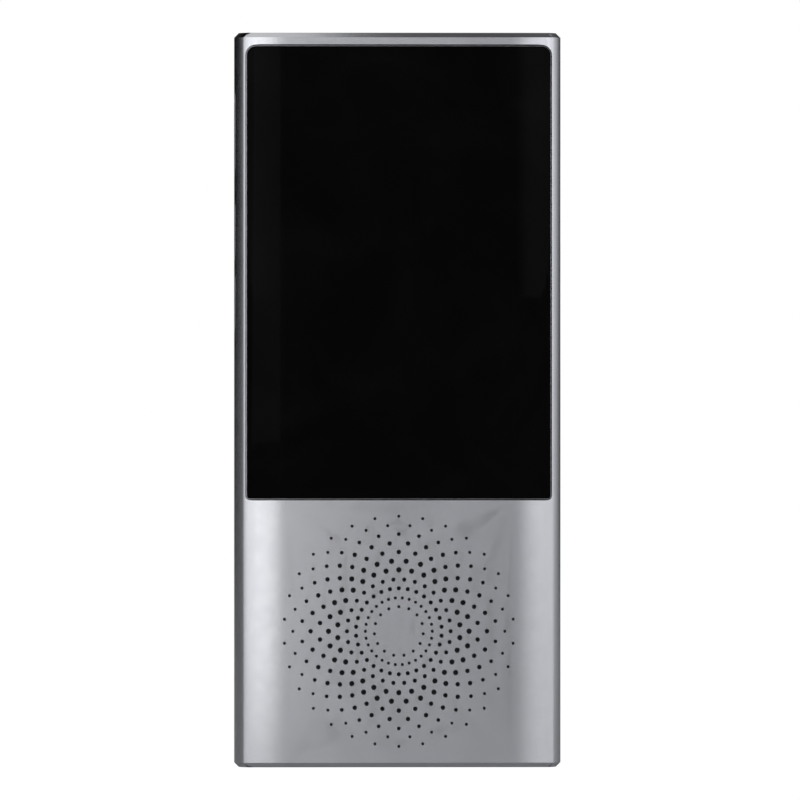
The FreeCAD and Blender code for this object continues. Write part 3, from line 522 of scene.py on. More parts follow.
# Modelling helpers

def take(piece):
    """Selects one piece alone and makes it active."""
    bpy.ops.object.select_all(action="DESELECT")
    piece.select_set(True)
    bpy.context.view_layer.objects.active = piece


@contextmanager
def editing(piece):
    """Edit mode on one piece, with all of it selected."""
    take(piece)
    bpy.ops.object.mode_set(mode="EDIT")
    bpy.ops.mesh.select_all(action="SELECT")
    yield
    bpy.ops.object.mode_set(mode="OBJECT")


def pick(piece, kind, test):
    """In edit mode, selects the faces or edges that pass a test."""
    bpy.ops.mesh.select_mode(type=kind)
    bpy.ops.mesh.select_all(action="DESELECT")
    mesh = bmesh.from_edit_mesh(piece.data)
    for part in mesh.faces if kind == "FACE" else mesh.edges:
        if test(part):
            part.select_set(True)
    mesh.select_flush_mode()
    bmesh.update_edit_mesh(piece.data)


def outward():
    """In edit mode, turns every face outward."""
    bpy.ops.mesh.select_all(action="SELECT")
    bpy.ops.mesh.normals_make_consistent(inside=False)


def traced(name, places, fill):
    """A circle with its points moved to the places given."""
    bpy.ops.object.select_all(action="DESELECT")
    bpy.ops.mesh.primitive_circle_add(vertices=len(places), radius=MM, fill_type=fill)
    piece = bpy.context.active_object
    piece.name = name
    for vertex, place in zip(piece.data.vertices, places):
        vertex.co = place
    return piece


def drawn(name, rings):
    """A closed piece: a filled outline on the first ring, extruded to each next ring."""
    piece = traced(name, rings[0], "NGON")
    with editing(piece):
        bpy.ops.mesh.select_mode(type="FACE")
        bpy.ops.mesh.select_all(action="SELECT")
        for before, after in zip(rings, rings[1:]):
            bpy.ops.mesh.extrude_region_move()
            mesh = bmesh.from_edit_mesh(piece.data)
            for vertex in mesh.verts:
                if vertex.select:
                    gaps = [(place - vertex.co).length_squared for place in before]
                    vertex.co = after[gaps.index(min(gaps))]
            bmesh.update_edit_mesh(piece.data)
        outward()
    return piece


def combined(piece, tool, operation="DIFFERENCE"):
    """Cuts a piece with a tool, or keeps what they share, and removes the tool."""
    modifier = piece.modifiers.new("cut", "BOOLEAN")
    modifier.object = tool
    modifier.operation = operation
    modifier.solver = "MANIFOLD"
    take(piece)
    bpy.ops.object.modifier_apply(modifier=modifier.name)
    bpy.data.objects.remove(tool)


def copied(piece, name):
    """A copy with its own mesh."""
    take(piece)
    bpy.ops.object.duplicate()
    made = bpy.context.active_object
    made.name = name
    return made


def joined(pieces):
    bpy.ops.object.select_all(action="DESELECT")
    for piece in pieces:
        piece.select_set(True)
    bpy.context.view_layer.objects.active = pieces[0]
    bpy.ops.object.join()
    return pieces[0]


def merged(piece):
    """Merges doubled points and turns every face outward."""
    with editing(piece):
        bpy.ops.mesh.remove_doubles(threshold=MERGE_REACH)
        outward()
    return piece


EASED_FROM = math.radians(35)
SMOOTH_UP_TO = math.radians(30)
# A face this close to one axis counts as square to it
SQUARE = 0.999999


def eased(piece, width, segments=3):
    """Bevels a piece's sharp edges."""
    modifier = piece.modifiers.new("ease", "BEVEL")
    modifier.width = width
    modifier.segments = segments
    modifier.limit_method = "ANGLE"
    modifier.angle_limit = EASED_FROM
    take(piece)
    bpy.ops.object.modifier_apply(modifier=modifier.name)
    return piece


def smoothed(piece):
    """Shades smoothly across soft edges; faces square to an axis stay flat."""
    take(piece)
    bpy.ops.object.shade_smooth_by_angle(angle=SMOOTH_UP_TO)
    with editing(piece):
        pick(piece, "FACE", lambda face: max(abs(part) for part in face.normal) > SQUARE)
        bpy.ops.mesh.faces_shade_flat()


def seated(piece, body, node):
    """Finishes a piece and puts it on its body in place of a node."""
    smoothed(piece)
    give_finish(piece, NODE_SLOTS[node])
    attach(piece, body)
    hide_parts(node)


def spun(name, profile, centre, way, steps):
    """A turned piece: a closed profile of (radius, depth) points, spun about an axis through its centre."""
    side = Vector((way.y, way.z, way.x))
    piece = traced(name, [centre + side * radius + way * depth for radius, depth in profile], "NOTHING")
    with editing(piece):
        bpy.ops.mesh.spin(steps=steps, angle=2 * math.pi, center=centre, axis=way, use_auto_merge=True)
        bpy.ops.mesh.select_all(action="SELECT")
        bpy.ops.mesh.remove_doubles(threshold=MERGE_REACH)
        bpy.ops.mesh.delete_loose()
        outward()
    return piece


# Outlines

def rounded_outline(width, height, radii, steps):
    """A rectangle about its middle with rounded corners, from the top right anticlockwise."""
    points = []
    for corner, (sx, sy) in enumerate(((1, 1), (-1, 1), (-1, -1), (1, -1))):
        radius = radii[corner]
        for step in range(steps + 1):
            angle = math.pi / 2 * (corner + step / steps)
            points.append((sx * (width / 2 - radius) + radius * math.cos(angle),
                           sy * (height / 2 - radius) + radius * math.sin(angle)))
    return points


def round_outline(radius, steps):
    return [(radius * math.cos(2 * math.pi * step / steps), radius * math.sin(2 * math.pi * step / steps))
            for step in range(steps)]


def round_hole(radius, sides):
    """A round outline for each growth."""
    return lambda grow: round_outline(radius + grow, sides)


def long_hole(sizes, along, across):
    """For each growth, a slot with round ends; its first size lies along the first way."""
    def outline(grow):
        radius = min(along, across) / 2 + grow - HAIR
        return rounded_outline(along + 2 * grow, across + 2 * grow, [radius] * 4, sizes.curve_steps)
    return outline


def placed_ring(outline, centre, ways, depth):
    """An outline in space, with its third way given by a depth or by a depth for each point."""
    first, second = ways
    third = first.cross(second)
    ring = []
    for u, v in outline:
        place = centre + first * u + second * v
        ring.append(place + third * (depth(place) if callable(depth) else depth))
    return ring


def front_drop(sizes, x):
    """How far the front or back face lies inside its flat middle at one distance from the centre line."""
    flat = WIDTH / 2 - sizes.side_swell - sizes.roll_width
    past = max(0.0, abs(x) - flat)
    radius = (sizes.roll_width ** 2 + sizes.roll_drop ** 2) / (2 * sizes.roll_drop)
    return radius - math.sqrt(radius ** 2 - past ** 2)


def side_drop(sizes, y):
    """How far the swelled side lies inside its middle at one depth."""
    half = THICKNESS / 2 - sizes.roll_drop
    radius = (half ** 2 + sizes.side_swell ** 2) / (2 * sizes.side_swell)
    return radius - math.sqrt(radius ** 2 - y ** 2)


ROLL_STEPS = 10
SIDE_STEPS = 24


def sleeve_outline(sizes):
    """Half of the outline is drawn from the front's middle round one side, then mirrored."""
    flat = WIDTH / 2 - sizes.side_swell - sizes.roll_width
    corner = WIDTH / 2 - sizes.side_swell
    half = []
    for step in range(ROLL_STEPS + 1):
        x = flat + (corner - flat) * step / ROLL_STEPS
        half.append((x, -THICKNESS / 2 + front_drop(sizes, x)))
    depth = THICKNESS / 2 - sizes.roll_drop
    for step in range(1, SIDE_STEPS):
        y = -depth * math.cos(math.pi * step / SIDE_STEPS)
        half.append((WIDTH / 2 - side_drop(sizes, y), y))
    for step in range(ROLL_STEPS + 1):
        x = corner + (flat - corner) * step / ROLL_STEPS
        half.append((x, THICKNESS / 2 - front_drop(sizes, x)))
    return half + [(-x, y) for x, y in reversed(half)]


def sleeve_form(sizes, name):
    """The sleeve's outer form: the outline extruded, its ends bevelled and its long edges rounded."""
    outline = sleeve_outline(sizes)
    low = [Vector((x, y, sizes.end_chamfer)) for x, y in outline]
    high = [Vector((x, y, HEIGHT - sizes.end_chamfer)) for x, y in outline]
    form = drawn(name, [low, high])
    corner = WIDTH / 2 - sizes.side_swell
    with editing(form):
        for way in (1, -1):
            pick(form, "FACE", lambda face: face.normal.z * way > 0.9)
            bpy.ops.mesh.inset(thickness=sizes.end_chamfer, depth=sizes.end_chamfer)
        pick(form, "EDGE", lambda edge: edge.calc_length() > HEIGHT / 2
             and all(abs(abs(vertex.co.x) - corner) < HAIR for vertex in edge.verts))
        bpy.ops.mesh.bevel(offset=sizes.edge_round, segments=5, affect="EDGES")
    return form


def glass_rings(sizes, grow, flares):
    """The cover glass's outline as rings, each a growth and a depth measured from the front face."""
    low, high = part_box("cover_glass")
    middle = (low + high) / 2
    rings = []
    for extra, depth, follow in flares:
        reach = grow + extra
        top, foot = sizes.glass_top_round + reach, sizes.glass_foot_round + reach
        ring = []
        for u, v in rounded_outline(high.x - low.x + 2 * reach, high.z - low.z + 2 * reach,
                                    (top, top, foot, foot), sizes.curve_steps):
            x = middle.x + u
            fall = front_drop(sizes, x) if follow else 0
            ring.append(Vector((x, -THICKNESS / 2 + depth + fall, middle.z + v)))
        rings.append(ring)
    return rings


def stack(name, centre, ways, levels):
    """A closed form through outlines, each laid at its depth."""
    return drawn(name, [placed_ring(outline, centre, ways, depth) for outline, depth in levels])


def well(sizes, name, shape, centre, ways, depth, surface=lambda place: 0.0):
    """A cutter with a flared mouth; the shape gives its outline for a growth."""
    ease = sizes.rim_ease
    return stack(name, centre, ways, ((shape(RUN_PAST / 4), -RUN_PAST),
                                      (shape(ease + MOUTH_OUT), lambda place: surface(place) - MOUTH_OUT),
                                      (shape(0.0), lambda place: surface(place) + ease),
                                      (shape(0.0), depth)))


def under(node, height):
    """The middle of a node's width and depth, at a height."""
    low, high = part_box(node)
    return Vector(((low.x + high.x) / 2, (low.y + high.y) / 2, height))


def cad_copy(node, name):
    """A merged copy of a node's own mesh."""
    return merged(copied(frame["nodes"][node], name))


# Sides of round openings by their size
SMALL_HOLE = 32
LARGE_HOLE = 48
WIDE_HOLE = 64

# Pairs of ways whose third way runs into a face of the sleeve
INTO_FRONT = (UP, ACROSS)
INTO_BACK = (ACROSS, UP)
INTO_LEFT = (BACK, UP)
INTO_RIGHT = (UP, BACK)
INTO_TOP = (BACK, ACROSS)
INTO_FOOT = (ACROSS, BACK)


def side_place(node):
    """The middle of a node on its side of the sleeve, with the ways into that side."""
    low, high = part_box(node)
    side = 1 if low.x + high.x > 0 else -1
    place = Vector((side * WIDTH / 2, 0, (low.z + high.z) / 2))
    return side, place, INTO_RIGHT if side > 0 else INTO_LEFT


def side_slot(sizes, side, length, grow=0.0):
    """The shape of a slot that runs along the height of a side."""
    long = length + 2 * grow
    wide = sizes.key_width + 2 * grow
    return long_hole(sizes, long, wide) if side > 0 else long_hole(sizes, wide, long)


def side_length(sizes, node):
    """A side key's length; the tray's door has its own."""
    low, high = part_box(node)
    return sizes.door_length if node == "sim_tray" else high.z - low.z - 2 * sizes.key_lip


SIDE_KEYS = ("own_talk_key", "other_talk_key", "volume_up_key", "volume_down_key")


def side_openings(sizes):
    tools = []
    for node in (*SIDE_KEYS, "sim_tray"):
        side, place, ways = side_place(node)
        shape = side_slot(sizes, side, side_length(sizes, node), sizes.key_gap)
        tools.append(well(sizes, node + "_slot", shape, place, ways, sizes.side_wall + RUN_PAST,
                          lambda spot: side_drop(sizes, spot.y)))
    return tools


def glass_openings(sizes):
    """The recess of the cover glass with its bright flared rim, and the window under it."""
    out = MOUTH_OUT / 2
    recess = drawn("glass_recess", glass_rings(sizes, sizes.glass_gap, (
        (2 * out, -RUN_PAST, False), (sizes.glass_rim + out, -out, True),
        (0.0, sizes.glass_rim, True), (0.0, sizes.ledge_depth, False))))
    low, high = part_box("cover_glass")
    tall = high.z - low.z - sizes.top_ledge - sizes.foot_ledge
    middle = Vector((0, -THICKNESS / 2, low.z + sizes.foot_ledge + tall / 2))
    outline = rounded_outline(tall, high.x - low.x - 2 * sizes.side_ledge, [RUN_PAST] * 4, sizes.curve_steps)
    window = stack("window", middle, INTO_FRONT, ((outline, -RUN_PAST), (outline, sizes.wall + RUN_PAST)))
    return [recess, window]


def back_openings(sizes):
    tools = []
    for node, gap in (("camera_ring", 0.05 * MM), ("lamp_guide", 0.06 * MM)):
        low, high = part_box(node)
        middle = (low + high) / 2
        tools.append(well(sizes, node + "_opening", round_hole((high.x - low.x) / 2 + gap, WIDE_HOLE),
                          Vector((middle.x, THICKNESS / 2, middle.z)), INTO_BACK, sizes.wall + RUN_PAST))
    return tools


def end_opening(sizes):
    """The hollow of the sleeve, eased at both ends."""
    ease = sizes.rim_ease
    mouth = ease + MOUTH_OUT
    levels = ((mouth, -RUN_PAST), (mouth, -MOUTH_OUT), (0.0, ease), (0.0, HEIGHT - ease),
              (mouth, HEIGHT + MOUTH_OUT), (mouth, HEIGHT + RUN_PAST))
    wide = WIDTH - 2 * sizes.side_wall
    deep = THICKNESS - 2 * sizes.wall
    return stack("hollow", Vector((0, 0, 0)), INTO_FOOT, [
        (rounded_outline(wide + 2 * grow, deep + 2 * grow, [sizes.cavity_round + grow] * 4,
                         sizes.curve_steps), depth)
        for grow, depth in levels])


def grille_drills(sizes):
    """One drill for each ring, repeated round the grille's middle."""
    middle = Vector((0, -THICKNESS / 2, sizes.grille_height))
    ease = sizes.hole_ease
    drills = []
    radius = sizes.first_ring
    last = RING_HOLES[0]
    for index, bore in enumerate(RING_HOLES):
        if index:
            radius += sizes.ring_pitch + max(0.0, bore - last) / 2
        last = bore
        count = sizes.ring_holes if index else sizes.inner_holes
        way = UP if index % 2 == 0 else ACROSS
        levels = [(round_outline(bore / 2 + grow, sizes.hole_sides), depth) for grow, depth in (
            (2 * ease, -ease), (0.0, ease), (0.0, sizes.wall + RUN_PAST / 2))]
        drill = stack("drill", middle + way * radius, INTO_FRONT, levels)
        with editing(drill):
            bpy.ops.mesh.spin(steps=count - 1, dupli=True, angle=2 * math.pi * (count - 1) / count,
                              center=middle, axis=BACK)
        drills.append(drill)
    return joined(drills)


def pressed_key(sizes, node, place, ways, shape, seat, start):
    """A key with an eased cap, a lip behind the wall and a nub that meets its switch."""
    lip = seat + sizes.lip_thickness
    nub = rounded_outline(sizes.nub_width, sizes.nub_width, [sizes.nub_width / 5] * 4, sizes.curve_steps)
    levels = ((shape(0.0), start), (shape(0.0), seat), (shape(sizes.key_lip), seat),
              (shape(sizes.key_lip), lip), (nub, lip), (nub, lip + sizes.nub_height))
    key = stack(node + "_cap", place, ways, levels)
    if start < 0:
        combined(key, sleeve_form(sizes, "key_skin"), "INTERSECT")
    merged(key)
    seated(eased(key, sizes.key_ease), node, node)


def cap_plate(sizes, name, node):
    low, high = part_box(node)
    outline = rounded_outline(high.x - low.x, high.y - low.y, [sizes.cap_round] * 4, sizes.curve_steps)
    plate = stack(name, under(node, low.z), INTO_FOOT, ((outline, 0.0), (outline, high.z - low.z)))
    return eased(plate, sizes.rim_ease)


# The cap screws' thread, point and driver recess
SCREW_TURNS = 7
THREAD_WIDTH = 0.3 * MM
THREAD_ROOT = 0.86
SCREW_POINT = 0.12 * MM
STAR_POINTS = 6
STAR_RADII = [0.62 * MM, 0.44 * MM]

# Operators

class TRANSLATOR_OT_sleeve(bpy.types.Operator):
    """Model the metal sleeve with its openings and its drilled grille"""
    bl_idname = "translator.sleeve"
    bl_label = "Model Sleeve"

    def execute(self, context):
        sizes = context.scene.translator_sizes
        sleeve = sleeve_form(sizes, "sleeve")
        with editing(sleeve):
            bpy.ops.mesh.quads_convert_to_tris()
        tools = [end_opening(sizes), *glass_openings(sizes), *back_openings(sizes), *side_openings(sizes),
                 grille_drills(sizes)]
        for tool in tools:
            combined(sleeve, tool)
        seated(merged(sleeve), "housing", "body_shell")
        return {"FINISHED"}


class TRANSLATOR_OT_glass(bpy.types.Operator):
    """Model the cover glass with its polished rim"""
    bl_idname = "translator.glass"
    bl_label = "Model Cover Glass"

    def execute(self, context):
        sizes = context.scene.translator_sizes
        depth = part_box("cover_glass")[1].y + THICKNESS / 2
        levels = ((0.0, -RUN_PAST, False), (0.0, depth, False))
        glass = drawn("cover_glass_face", glass_rings(sizes, 0.0, levels))
        combined(glass, sleeve_form(sizes, "glass_skin"), "INTERSECT")
        merged(glass)
        seated(eased(glass, sizes.glass_ease), "housing", "cover_glass")
        return {"FINISHED"}


class TRANSLATOR_OT_side_keys(bpy.types.Operator):
    """Model the talk keys and the volume keys"""
    bl_idname = "translator.side_keys"
    bl_label = "Model Side Keys"

    def execute(self, context):
        sizes = context.scene.translator_sizes
        for node in SIDE_KEYS:
            side, place, ways = side_place(node)
            pressed_key(sizes, node, place, ways, side_slot(sizes, side, side_length(sizes, node)),
                        sizes.side_wall + sizes.lip_gap, -RUN_PAST)
        return {"FINISHED"}


class TRANSLATOR_OT_power_key(bpy.types.Operator):
    """Model the power key in the top end"""
    bl_idname = "translator.power_key"
    bl_label = "Model Power Key"

    def execute(self, context):
        sizes = context.scene.translator_sizes
        low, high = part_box("power_key")
        length = high.x - low.x - 2 * sizes.key_lip
        seat = high.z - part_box("top_cap")[0].z + sizes.lip_gap
        pressed_key(sizes, "power_key", under("power_key", high.z), INTO_TOP,
                    long_hole(sizes, sizes.key_width, length), seat, 0.0)
        return {"FINISHED"}


class TRANSLATOR_OT_card_tray(bpy.types.Operator):
    """Model the card tray's door on the tray's own plate"""
    bl_idname = "translator.card_tray"
    bl_label = "Model Card Tray"

    def execute(self, context):
        sizes = context.scene.translator_sizes
        side, place, ways = side_place("sim_tray")
        shape = side_slot(sizes, side, sizes.door_length)
        face, block = shape(0.0), shape(RUN_PAST)
        door = stack("card_tray", place, ways, ((face, -RUN_PAST), (face, sizes.door_depth)))
        combined(door, sleeve_form(sizes, "door_skin"), "INTERSECT")
        merged(door)
        eased(door, sizes.key_ease)
        hole = place + UP * sizes.pin_height
        combined(door, well(sizes, "pin_hole", round_hole(sizes.pin_radius, SMALL_HOLE), hole, ways,
                            sizes.pin_depth, lambda spot: side_drop(sizes, spot.y)))
        plate = cad_copy("sim_tray", "tray_plate")
        overlap = sizes.door_depth - 2 * HAIR
        combined(plate, stack("door_block", place, ways, ((block, -RUN_PAST), (block, overlap))))
        eased(plate, PLATE_EASE, segments=2)
        seated(joined([door, plate]), "sim_tray", "sim_tray")
        return {"FINISHED"}


class TRANSLATOR_OT_end_caps(bpy.types.Operator):
    """Model the caps that close both ends"""
    bl_idname = "translator.end_caps"
    bl_label = "Model End Caps"

    def execute(self, context):
        sizes = context.scene.translator_sizes
        low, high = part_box("bottom_cap")
        deep = high.z - low.z + RUN_PAST
        foot = cap_plate(sizes, "bottom_plate", "bottom_cap")
        middle = under("usb_port", low.z)
        shank = round_outline(sizes.screw_shank + sizes.screw_gap, SMALL_HOLE)
        head = round_hole(sizes.screw_head + sizes.screw_gap, LARGE_HOLE)
        inlet = round_hole(sizes.sound_radius, SMALL_HOLE)
        opening = long_hole(sizes, sizes.port_width, sizes.port_height)
        tools = [well(sizes, "port", opening, middle, INTO_FOOT, deep)]
        for way in (1, -1):
            screw = middle + ACROSS * sizes.screw_across * way
            sound = middle + ACROSS * sizes.sound_across * way
            tools += [well(sizes, "screw_well", head, screw, INTO_FOOT, sizes.screw_sink),
                      stack("screw_hole", screw, INTO_FOOT, ((shank, -RUN_PAST), (shank, deep))),
                      well(sizes, "sound_hole", inlet, sound, INTO_FOOT, deep)]
        for tool in tools:
            combined(foot, tool)
        seated(merged(foot), "housing", "bottom_cap")
        head_plate = cap_plate(sizes, "top_plate", "top_cap")
        low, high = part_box("power_key")
        across = high.x - low.x - 2 * sizes.key_lip + 2 * sizes.key_gap
        wide = sizes.key_width + 2 * sizes.key_gap
        place = under("power_key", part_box("top_cap")[1].z)
        combined(head_plate, well(sizes, "key_slot", long_hole(sizes, wide, across), place, INTO_TOP, deep))
        top_middle = Vector((0, place.y, place.z))
        combined(head_plate, well(sizes, "top_sound", inlet, top_middle, INTO_TOP, deep))
        seated(merged(head_plate), "housing", "top_cap")
        return {"FINISHED"}


class TRANSLATOR_OT_cap_screws(bpy.types.Operator):
    """Model one cap screw with its driver recess and copy it"""
    bl_idname = "translator.cap_screws"
    bl_label = "Model Cap Screws"

    def execute(self, context):
        sizes = context.scene.translator_sizes
        low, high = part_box("cap_screws")
        head = sizes.screw_head
        shank = sizes.screw_shank
        under_head = sizes.screw_head_height
        length = high.z - low.z
        profile = [(0, 0), (head * 0.8, 0), (head * 0.95, under_head * 0.12), (head, under_head * 0.35),
                   (head, under_head), (shank, under_head)]
        for turn in range(SCREW_TURNS):
            start = under_head + (length - under_head) * (turn + 0.4) / (SCREW_TURNS + 1)
            profile += [(shank, start), (shank * THREAD_ROOT, start + THREAD_WIDTH / 2),
                        (shank, start + THREAD_WIDTH)]
        profile += [(shank, length - SCREW_POINT), (shank - SCREW_POINT, length), (0, length)]
        place = Vector((high.x - head, (low.y + high.y) / 2, low.z))
        screw = spun("cap_screw_pair", profile, place, UP, SMALL_HOLE)
        star = []
        for step, radius in enumerate(STAR_RADII * STAR_POINTS):
            angle = math.pi * step / STAR_POINTS
            star.append((radius * math.cos(angle), radius * math.sin(angle)))
        combined(screw, stack("recess", place, INTO_FOOT, ((star, -RUN_PAST / 4), (star, under_head * 0.6))))
        second = copied(screw, "second_screw")
        with editing(second):
            bpy.ops.transform.translate(value=(low.x + head - place.x, 0, 0))
        seated(joined([screw, second]), "housing", "cap_screws")
        return {"FINISHED"}


class TRANSLATOR_OT_rear_camera(bpy.types.Operator):
    """Model the camera's ring and window and the lamp's lens"""
    bl_idname = "translator.rear_camera"
    bl_label = "Model Rear Camera"

    def execute(self, context):
        sizes = context.scene.translator_sizes
        for name, node in (("camera_rim", "camera_ring"), ("camera_lens", "camera_window"),
                           ("lamp_lens", "lamp_guide")):
            low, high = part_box(node)
            foot = Vector(((low.x + high.x) / 2, low.y, (low.z + high.z) / 2))
            outer = (high.x - low.x) / 2
            tall = high.y - low.y
            ease = sizes.key_ease
            if node == "camera_ring":
                inner = outer - sizes.ring_land
                profile = [(inner, 0), (outer, 0), (outer, tall - 1.5 * ease),
                           (outer - 0.4 * ease, tall - 0.4 * ease), (outer - 1.5 * ease, tall),
                           (inner + ease, tall), (inner + 0.3 * ease, tall - 0.3 * ease),
                           (inner, tall - ease)]
            elif node == "camera_window":
                lens = sizes.lens_radius
                profile = [(0, 0), (outer - 0.5 * ease, 0), (outer, 0.5 * ease), (outer, tall - 0.5 * ease),
                           (outer - 0.5 * ease, tall), (lens + 5 * ease, tall),
                           (lens + 4 * ease, tall - ease), (lens, tall - ease),
                           (lens * 0.85, tall - 0.6 * ease), (lens * 0.5, tall - 0.3 * ease),
                           (0, tall - 0.2 * ease)]
            else:
                profile = [(0, 0), (outer, 0), (outer, tall - ease), (outer - 0.7 * ease, tall)]
                for share in (0.75, 0.5, 0.25):
                    profile += [(outer * (share + 0.05), tall), (outer * share, tall - 0.5 * ease),
                                (outer * (share - 0.06), tall)]
                profile.append((0, tall))
            seated(spun(name, profile, foot, BACK, WIDE_HOLE), "housing", node)
        return {"FINISHED"}


class TRANSLATOR_OT_port(bpy.types.Operator):
    """Ease the rims of the charging port and its tongue"""
    bl_idname = "translator.port"
    bl_label = "Ease Charging Port"

    def execute(self, context):
        for name, node, width in (("port_shell", "usb_port", 0.05 * MM),
                                  ("port_tongue", "usb_tongue", 0.08 * MM)):
            seated(eased(cad_copy(node, name), width, segments=2), "housing", node)
        return {"FINISHED"}


class TRANSLATOR_OT_inside(bpy.types.Operator):
    """Finish the pieces inside the sleeve"""
    bl_idname = "translator.inside"
    bl_label = "Finish Inside Pieces"

    def execute(self, context):
        for name in sorted(NODE_SLOTS):
            give_finish(frame["nodes"][name], NODE_SLOTS[name])
        return {"FINISHED"}


class TRANSLATOR_OT_stage(bpy.types.Operator):
    """Set out the floor, the light and the camera"""
    bl_idname = "translator.stage"
    bl_label = "Set Out Stage"

    def execute(self, context):
        lay_floor(context)
        light_world(context)
        hang_lamps(context)
        place_camera(context)
        return {"FINISHED"}


# Tint of the light, the share of the floor's glow that the camera sees, and the glow
COOL = Vector((0.985, 0.99, 1.02))
FLOOR_SEEN = 0.78
FLOOR_GLOW = 1.25
# Between these steepnesses the light falls to its share straight above and below
STEEP = (0.45, 0.85)
END_SHARE = 0.12

# Brightness round the object: a turn in degrees, positive to the right of the front, and a level
STUDIO_TURN = (
    (-180, 0.04), (-170, 0.03), (-160, 0.0), (-140, 0.0), (-130, 0.03), (-122, 0.1), (-114, 0.9), (-60, 0.95),
    (-20, 1.1), (-13, 1.1), (-9, 0.9), (-5, 0.5), (-1, 0.24), (1.5, 0.08), (4.5, 0.08), (6.5, 0.7),
    (9, 1.35), (14, 1.4), (24, 1.25), (60, 1.0), (114, 1.0), (122, 0.9), (130, 0.62), (138, 0.4), (145, 0.18),
    (155, 0.07), (165, 0.04), (180, 0.04),
)


def light_world(context):
    """Softboxes all round by direction; the camera sees plain white."""
    world = bpy.data.worlds.new("studio")
    context.scene.world = world
    tree = fresh_tree(world)
    way = node(tree, "ShaderNodeTexCoord").outputs["Generated"]
    parts = node(tree, "ShaderNodeSeparateXYZ", {0: way})
    forward = math_node(tree, "MULTIPLY", parts.outputs[1], -1.0)
    turn = math_node(tree, "ARCTAN2", parts.outputs[0], forward)
    share = ranged(tree, turn, -math.pi, math.pi, 0.0, 1.0)
    ramp = node(tree, "ShaderNodeValToRGB", {0: share})
    points = ramp.color_ramp.elements
    last = len(STUDIO_TURN) - 1
    for index, (degrees, level) in enumerate(STUDIO_TURN):
        if 0 < index < last:
            point = points.new(0.5 + degrees / 360)
        else:
            point = points[0 if index == 0 else -1]
        point.color = (*(COOL * level), 1)
    steep = math_node(tree, "ABSOLUTE", parts.outputs[2])
    strength = ranged(tree, steep, *STEEP, 1.0, END_SHARE)
    light = node(tree, "ShaderNodeBackground", {0: ramp.outputs[0], 1: strength})
    white = node(tree, "ShaderNodeBackground", {0: (1, 1, 1, 1), 1: 1.0})
    seen = node(tree, "ShaderNodeLightPath").outputs["Is Camera Ray"]
    both = node(tree, "ShaderNodeMixShader", {0: seen, 1: light.outputs[0], 2: white.outputs[0]})
    output = tree.nodes.new("ShaderNodeOutputWorld")
    tree.links.new(both.outputs[0], output.inputs[0])


def lay_floor(context):
    """A wide pale floor that the camera sees as white but for a soft contact shadow."""
    bpy.ops.object.select_all(action="DESELECT")
    bpy.ops.mesh.primitive_plane_add(size=6, location=(0, 0, 0))
    floor = context.active_object
    floor.name = "studio_floor"
    material = bpy.data.materials.new("floor_white")
    tree = fresh_tree(material)
    paint = node(tree, "ShaderNodeBsdfDiffuse", {0: list(context.scene.translator_colours.floor)})
    glow = node(tree, "ShaderNodeEmission", {0: (1, 1, 1, 1), 1: FLOOR_GLOW})
    seen = node(tree, "ShaderNodeLightPath").outputs["Is Camera Ray"]
    share = math_node(tree, "MULTIPLY", seen, FLOOR_SEEN)
    both = node(tree, "ShaderNodeMixShader", {0: share, 1: paint.outputs[0], 2: glow.outputs[0]})
    output = tree.nodes.new("ShaderNodeOutputMaterial")
    tree.links.new(both.outputs[0], output.inputs[0])
    floor.data.materials.append(material)


def hang_lamps(context):
    """Near soft boxes in front on the left and above on the left."""
    for name, place, aim, wide, tall, power in (
        ("left_box", Vector((-0.046, -0.25, 0.058)), Vector((-0.012, 0, 0.056)), 0.06, 0.36, 0.058),
        ("top_box", Vector((-0.036, 0.0, HEIGHT + 0.10)), Vector((-0.022, 0, HEIGHT)), 0.09, 0.06, 0.011),
    ):
        data = bpy.data.lights.new(name, "AREA")
        data.shape = "RECTANGLE"
        data.size = wide
        data.size_y = tall
        data.energy = power
        lamp = bpy.data.objects.new(name, data)
        lamp.location = place
        lamp.rotation_euler = (aim - place).to_track_quat("-Z", "Y").to_euler()
        lamp.visible_camera = False
        context.scene.collection.objects.link(lamp)


CAMERA_TURN = -2.5
CAMERA_DISTANCE = 3.0
FRAME_PIXELS = 800
PIXELS_PER_MM = 326.5 / 50.0
AIM_ACROSS = 0.41 * MM
AIM_UP = HEIGHT / 2


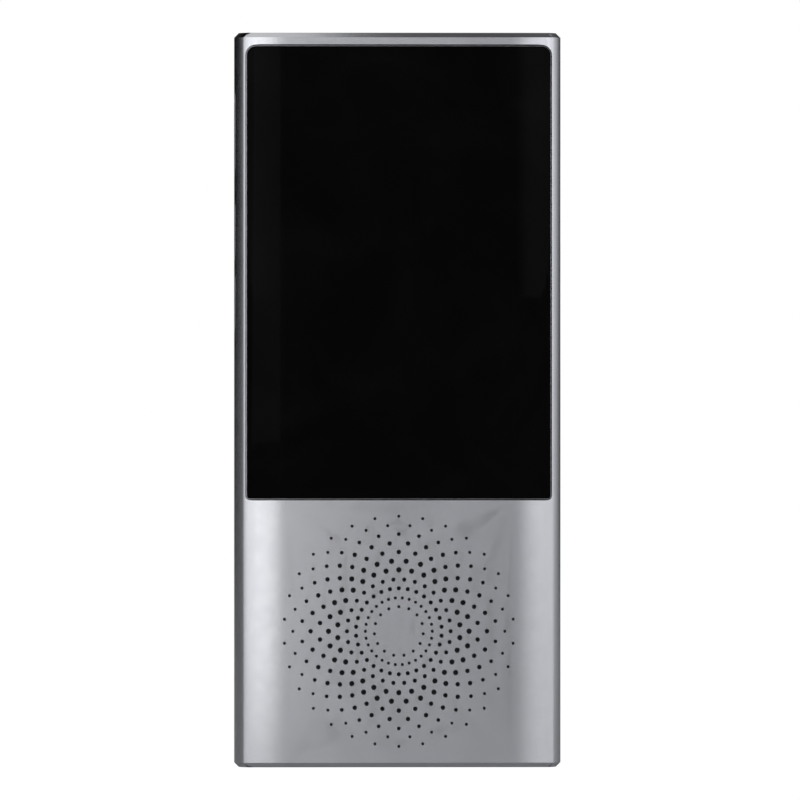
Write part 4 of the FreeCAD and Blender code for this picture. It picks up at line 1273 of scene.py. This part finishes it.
def place_camera(context):
    """A long lens almost square to the front, a little to the left."""
    data = bpy.data.cameras.new("camera")
    camera = bpy.data.objects.new("camera", data)
    context.scene.collection.objects.link(camera)
    context.scene.camera = camera
    field = FRAME_PIXELS / PIXELS_PER_MM * MM
    data.sensor_width = 36
    data.lens = data.sensor_width * CAMERA_DISTANCE / field
    angle = math.radians(CAMERA_TURN)
    way = Vector((math.sin(angle), -math.cos(angle), 0))
    across = Vector((math.cos(angle), math.sin(angle), 0))
    camera.location = way * CAMERA_DISTANCE + across * AIM_ACROSS + UP * AIM_UP
    camera.rotation_euler = (-way).to_track_quat("-Z", "Y").to_euler()
    data.clip_start = 0.01
    data.clip_end = 20
    context.scene.view_settings.view_transform = "Standard"


class TRANSLATOR_PT_panel(bpy.types.Panel):
    """Lists the steps of the translator"""
    bl_idname = "TRANSLATOR_PT_panel"
    bl_label = "Handheld Translator"
    bl_space_type = "VIEW_3D"
    bl_region_type = "UI"
    bl_category = "Translator"

    def draw(self, context):
        column = self.layout.column()
        for step in STEPS:
            column.operator(step.bl_idname)


STEPS = (
    TRANSLATOR_OT_sleeve,
    TRANSLATOR_OT_glass,
    TRANSLATOR_OT_side_keys,
    TRANSLATOR_OT_power_key,
    TRANSLATOR_OT_card_tray,
    TRANSLATOR_OT_end_caps,
    TRANSLATOR_OT_cap_screws,
    TRANSLATOR_OT_rear_camera,
    TRANSLATOR_OT_port,
    TRANSLATOR_OT_inside,
    TRANSLATOR_OT_stage,
)
CLASSES = (TranslatorSizes, TranslatorColours, *STEPS, TRANSLATOR_PT_panel)


def register():
    for each in CLASSES:
        bpy.utils.register_class(each)
    bpy.types.Scene.translator_sizes = PointerProperty(type=TranslatorSizes)
    bpy.types.Scene.translator_colours = PointerProperty(type=TranslatorColours)


def unregister():
    del bpy.types.Scene.translator_colours
    del bpy.types.Scene.translator_sizes
    for each in reversed(CLASSES):
        bpy.utils.unregister_class(each)


def main():
    register()
    for step in STEPS:
        space, name = step.bl_idname.split(".")
        getattr(getattr(bpy.ops, space), name)()


if __name__ == "__main__":
    main()
